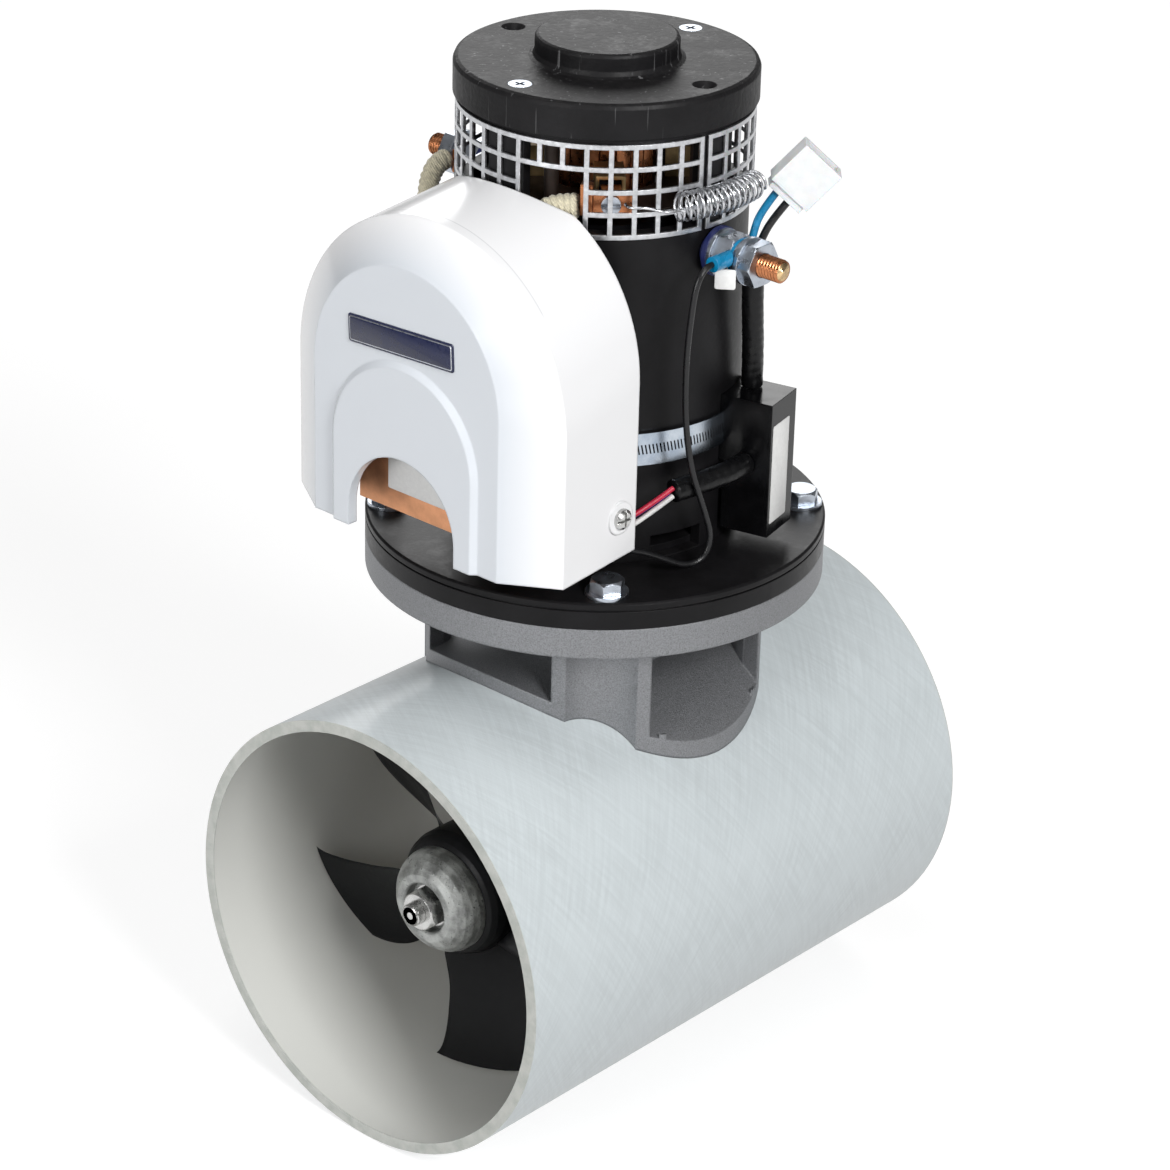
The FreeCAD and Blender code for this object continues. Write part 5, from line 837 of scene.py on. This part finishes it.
class THRUSTER_OT_wires(bpy.types.Operator):
    """Runs the loop wire, the control wires, the sleeves and the plug's leads"""

    bl_idname = "thruster.wires"
    bl_label = "Wires and sleeves"

    def execute(self, context):
        thin = sizes().wire
        runs = (
            ("loop_wire_run", LOOP_WIRE, 0.0026, "grey_wire", "loop_wire", "grey_wire"),
            ("red_wire_run", RED_WIRE, thin, "red_wire", "control_wires", "wire_mixed"),
            ("lower_wire_run", LOWER_WIRE, thin, "violet_wire", "control_wires", "wire_mixed"),
            ("outer_wire_run", OUTER_WIRE, thin, "white_wire", "control_wires", "wire_mixed"),
            ("blue_lead", BLUE_LEAD, 0.0032, "blue_wire", "plug_leads", "lead_mixed"),
            ("black_lead", BLACK_LEAD, 0.0032, "black_wire", "plug_leads", "lead_mixed"),
        )
        for name, route, diameter, finish, node_name, slot in runs:
            made = cable_curve(name, route, diameter, finish)
            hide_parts(node_name)
            total, places = route_length(made)
        for name, route, diameter in (("sleeve_up", UP_SLEEVE, 0.0092), ("sleeve_side", SIDE_SLEEVE, 0.0098)):
            guide = cable_curve(name + "_line", route, diameter, "black_rubber")
            places = route_length(guide)[1]
            bpy.data.objects.remove(guide)
            mesh = ribbed_tube(name, places, diameter / 2, 0.004, 0.02)
            piece(name, mesh, "black_rubber", node_names=("relay_sleeves",))
        return {"FINISHED"}


class THRUSTER_OT_labels(bpy.types.Operator):
    """Places the bare badge, the blank labels and the blank wire tag"""

    bl_idname = "thruster.labels"
    bl_label = "Bare labels"

    def execute(self, context):
        lift = sizes().label_lift
        wide, high = sizes().badge_width, sizes().badge_height
        tilt = math.radians(2.7)
        badge = frame_matrix((-2.0, -116.4, 263.3), (math.cos(tilt), 0, math.sin(tilt)), (0, 0, 1))
        layers = (("badge_edge", "badge_field", 0.0, 0.0, 0.0006, 0.0012),
                  ("badge_line", "badge_line", 0.0016, 0.0005, 0.00025, 0.001),
                  ("badge_field", "badge_field", 0.0024, 0.0006, 0.00025, 0.0008))
        for name, finish, inset, raised, thickness, corner in layers:
            place = badge @ Matrix.Translation((0, 0, raised))
            plate = rounded_plate(name, wide - inset, high - inset, thickness, corner, place)
            piece(name, plate, finish)
        turn = math.radians(13.4)
        outward = Vector((math.cos(turn), math.sin(turn), 0))
        across = Vector((-math.sin(turn), math.cos(turn), 0))
        on_relay = frame_matrix(outward * 83.6 + across * 4.0 + Vector((0, 0, 190)), across, (0, 0, 1))
        on_contactor = frame_matrix((0, -100.0, 203), (1, 0, 0), (0, 0, 1))
        under_stud = frame_matrix((76.8, -12.6, 283.4), (0.80, 0.60, 0), (0, 0, 1))
        papers = (("relay_label", 0.015, 0.044, lift, 0.0008, on_relay, "relay_case"),
                  ("contactor_label", 0.050, 0.030, lift, 0.0008, on_contactor, "passivated"),
                  ("wire_tag", 0.0085, 0.0085, 0.0004, 0.001, under_stud, "grey_wire"))
        for name, across, tall, thickness, corner, place, slot in papers:
            piece(name, rounded_plate(name, across, tall, thickness, corner, place), "paper")
        return {"FINISHED"}


def area_light(name, place, target, size, energy):
    """A soft lamp that looks at a point."""
    data = bpy.data.lights.new(name, "AREA")
    data.shape = "RECTANGLE"
    data.size, data.size_y = size
    data.energy = energy
    lamp = bpy.data.objects.new(name, data)
    bpy.context.scene.collection.objects.link(lamp)
    lamp.location = place
    lamp.rotation_euler = (Vector(target) - Vector(place)).to_track_quat("-Z", "Y").to_euler()


class THRUSTER_OT_stage(bpy.types.Operator):
    """Sets the floor, the lamps, the world and the camera"""

    bl_idname = "thruster.stage"
    bl_label = "Stage"

    def execute(self, context):
        scene = context.scene
        scene.view_settings.view_transform = "Standard"
        floor_height = cad_box[0][2] - 0.0005
        bpy.ops.mesh.primitive_plane_add(size=8, location=(0, 0, floor_height))
        floor = context.object
        floor.name = "studio_floor"
        floor.data.materials.append(self.floor_material())
        self.light_world(scene)
        middle = (0, 0, 0.15)
        area_light("key", (2.5, -0.85, 1.7), (0, -0.1, 0.15), (0.8, 0.8), 74)
        area_light("crown", (0.1, -0.7, 2.5), middle, (0.9, 0.9), 12)
        area_light("bore_fill", (0.1, -2.3, 0.75), (0, 0, 0), (0.9, 0.9), 25)
        area_light("rim_back", (-1.75, 1.7, 1.3), middle, (1.3, 1.3), 17)
        scene.camera = self.camera()
        return {"FINISHED"}

    def floor_material(self):
        """White to the camera, and still shaded by what stands on it."""
        made = bpy.data.materials.new("studio_floor")
        made.use_nodes = True
        tree = made.node_tree
        tree.nodes.clear()
        path = node(tree, "LightPath").outputs
        seen = maths(tree, "MAXIMUM", path["Is Camera Ray"], path["Is Glossy Ray"])
        strength = maths(tree, "MULTIPLY", seen, 0.70)
        diffuse = node(tree, "BsdfDiffuse", {"Color": (0.42, 0.42, 0.42, 1.0)})
        glow = node(tree, "Emission", {"Color": (1, 1, 1, 1), "Strength": strength})
        both = node(tree, "AddShader", {0: diffuse.outputs[0], 1: glow.outputs[0]})
        out = node(tree, "OutputMaterial")
        tree.links.new(both.outputs[0], out.inputs["Surface"])
        return made

    def light_world(self, scene):
        """A plain white surround, dimmer as a lamp than as a background."""
        world = bpy.data.worlds.new("studio")
        scene.world = world
        world.use_nodes = True
        tree = world.node_tree
        tree.nodes.clear()
        path = node(tree, "LightPath").outputs
        seen = maths(tree, "MAXIMUM", path["Is Camera Ray"], path["Is Transmission Ray"])
        strength = node(tree, "MapRange", {0: seen, 3: 0.18, 4: 1.0})
        back = node(tree, "Background", {"Color": (1, 1, 1, 1), "Strength": strength.outputs[0]})
        out = node(tree, "OutputWorld")
        tree.links.new(back.outputs[0], out.inputs["Surface"])

    def camera(self):
        """The camera, turned by its yaw, pitch and roll."""
        yaw, pitch, roll = (math.radians(a) for a in (41.416, 25.781, 1.484))
        right = Vector((math.cos(yaw), math.sin(yaw), 0))
        back = Vector((math.sin(yaw) * math.cos(pitch), -math.cos(yaw) * math.cos(pitch), math.sin(pitch)))
        up = back.cross(right)
        turned_right = right * math.cos(roll) + up * math.sin(roll)
        turned_up = up * math.cos(roll) - right * math.sin(roll)
        data = bpy.data.cameras.new("camera")
        data.sensor_width = 36
        data.lens = 121.4653
        data.clip_start = 0.05
        made = bpy.data.objects.new("camera", data)
        bpy.context.scene.collection.objects.link(made)
        place = Matrix.Translation((1.009721, -1.149877, 0.856635))
        made.matrix_world = place @ Matrix((turned_right, turned_up, back)).transposed().to_4x4()
        return made


class THRUSTER_PT_panel(bpy.types.Panel):
    """Lists the thruster's sizes, colours and pieces"""

    bl_idname = "THRUSTER_PT_panel"
    bl_label = "Bow thruster"
    bl_space_type = "VIEW_3D"
    bl_region_type = "UI"
    bl_category = "Thruster"

    def draw(self, context):
        layout = self.layout
        for operator in OPERATORS:
            layout.operator(operator.bl_idname)
        for settings in (colours(), sizes()):
            column = layout.column()
            for key in settings.__annotations__:
                column.prop(settings, key)


OPERATORS = (THRUSTER_OT_finishes, THRUSTER_OT_studs, THRUSTER_OT_straps, THRUSTER_OT_wires,
             THRUSTER_OT_labels, THRUSTER_OT_stage)
CLASSES = (ThrusterColours, ThrusterSizes) + OPERATORS + (THRUSTER_PT_panel,)


def register():
    """Registers the classes and the settings."""
    for cls in CLASSES:
        bpy.utils.register_class(cls)
    bpy.types.Scene.thruster_colours = PointerProperty(type=ThrusterColours)
    bpy.types.Scene.thruster_sizes = PointerProperty(type=ThrusterSizes)


def unregister():
    """Removes the settings and the classes."""
    del bpy.types.Scene.thruster_sizes
    del bpy.types.Scene.thruster_colours
    for cls in reversed(CLASSES):
        bpy.utils.unregister_class(cls)


def main():
    """Dresses the frame."""
    register()
    bpy.ops.thruster.finishes()
    bpy.ops.thruster.studs()
    bpy.ops.thruster.straps()
    bpy.ops.thruster.wires()
    bpy.ops.thruster.labels()
    bpy.ops.thruster.stage()


if __name__ == "__main__":
    main()
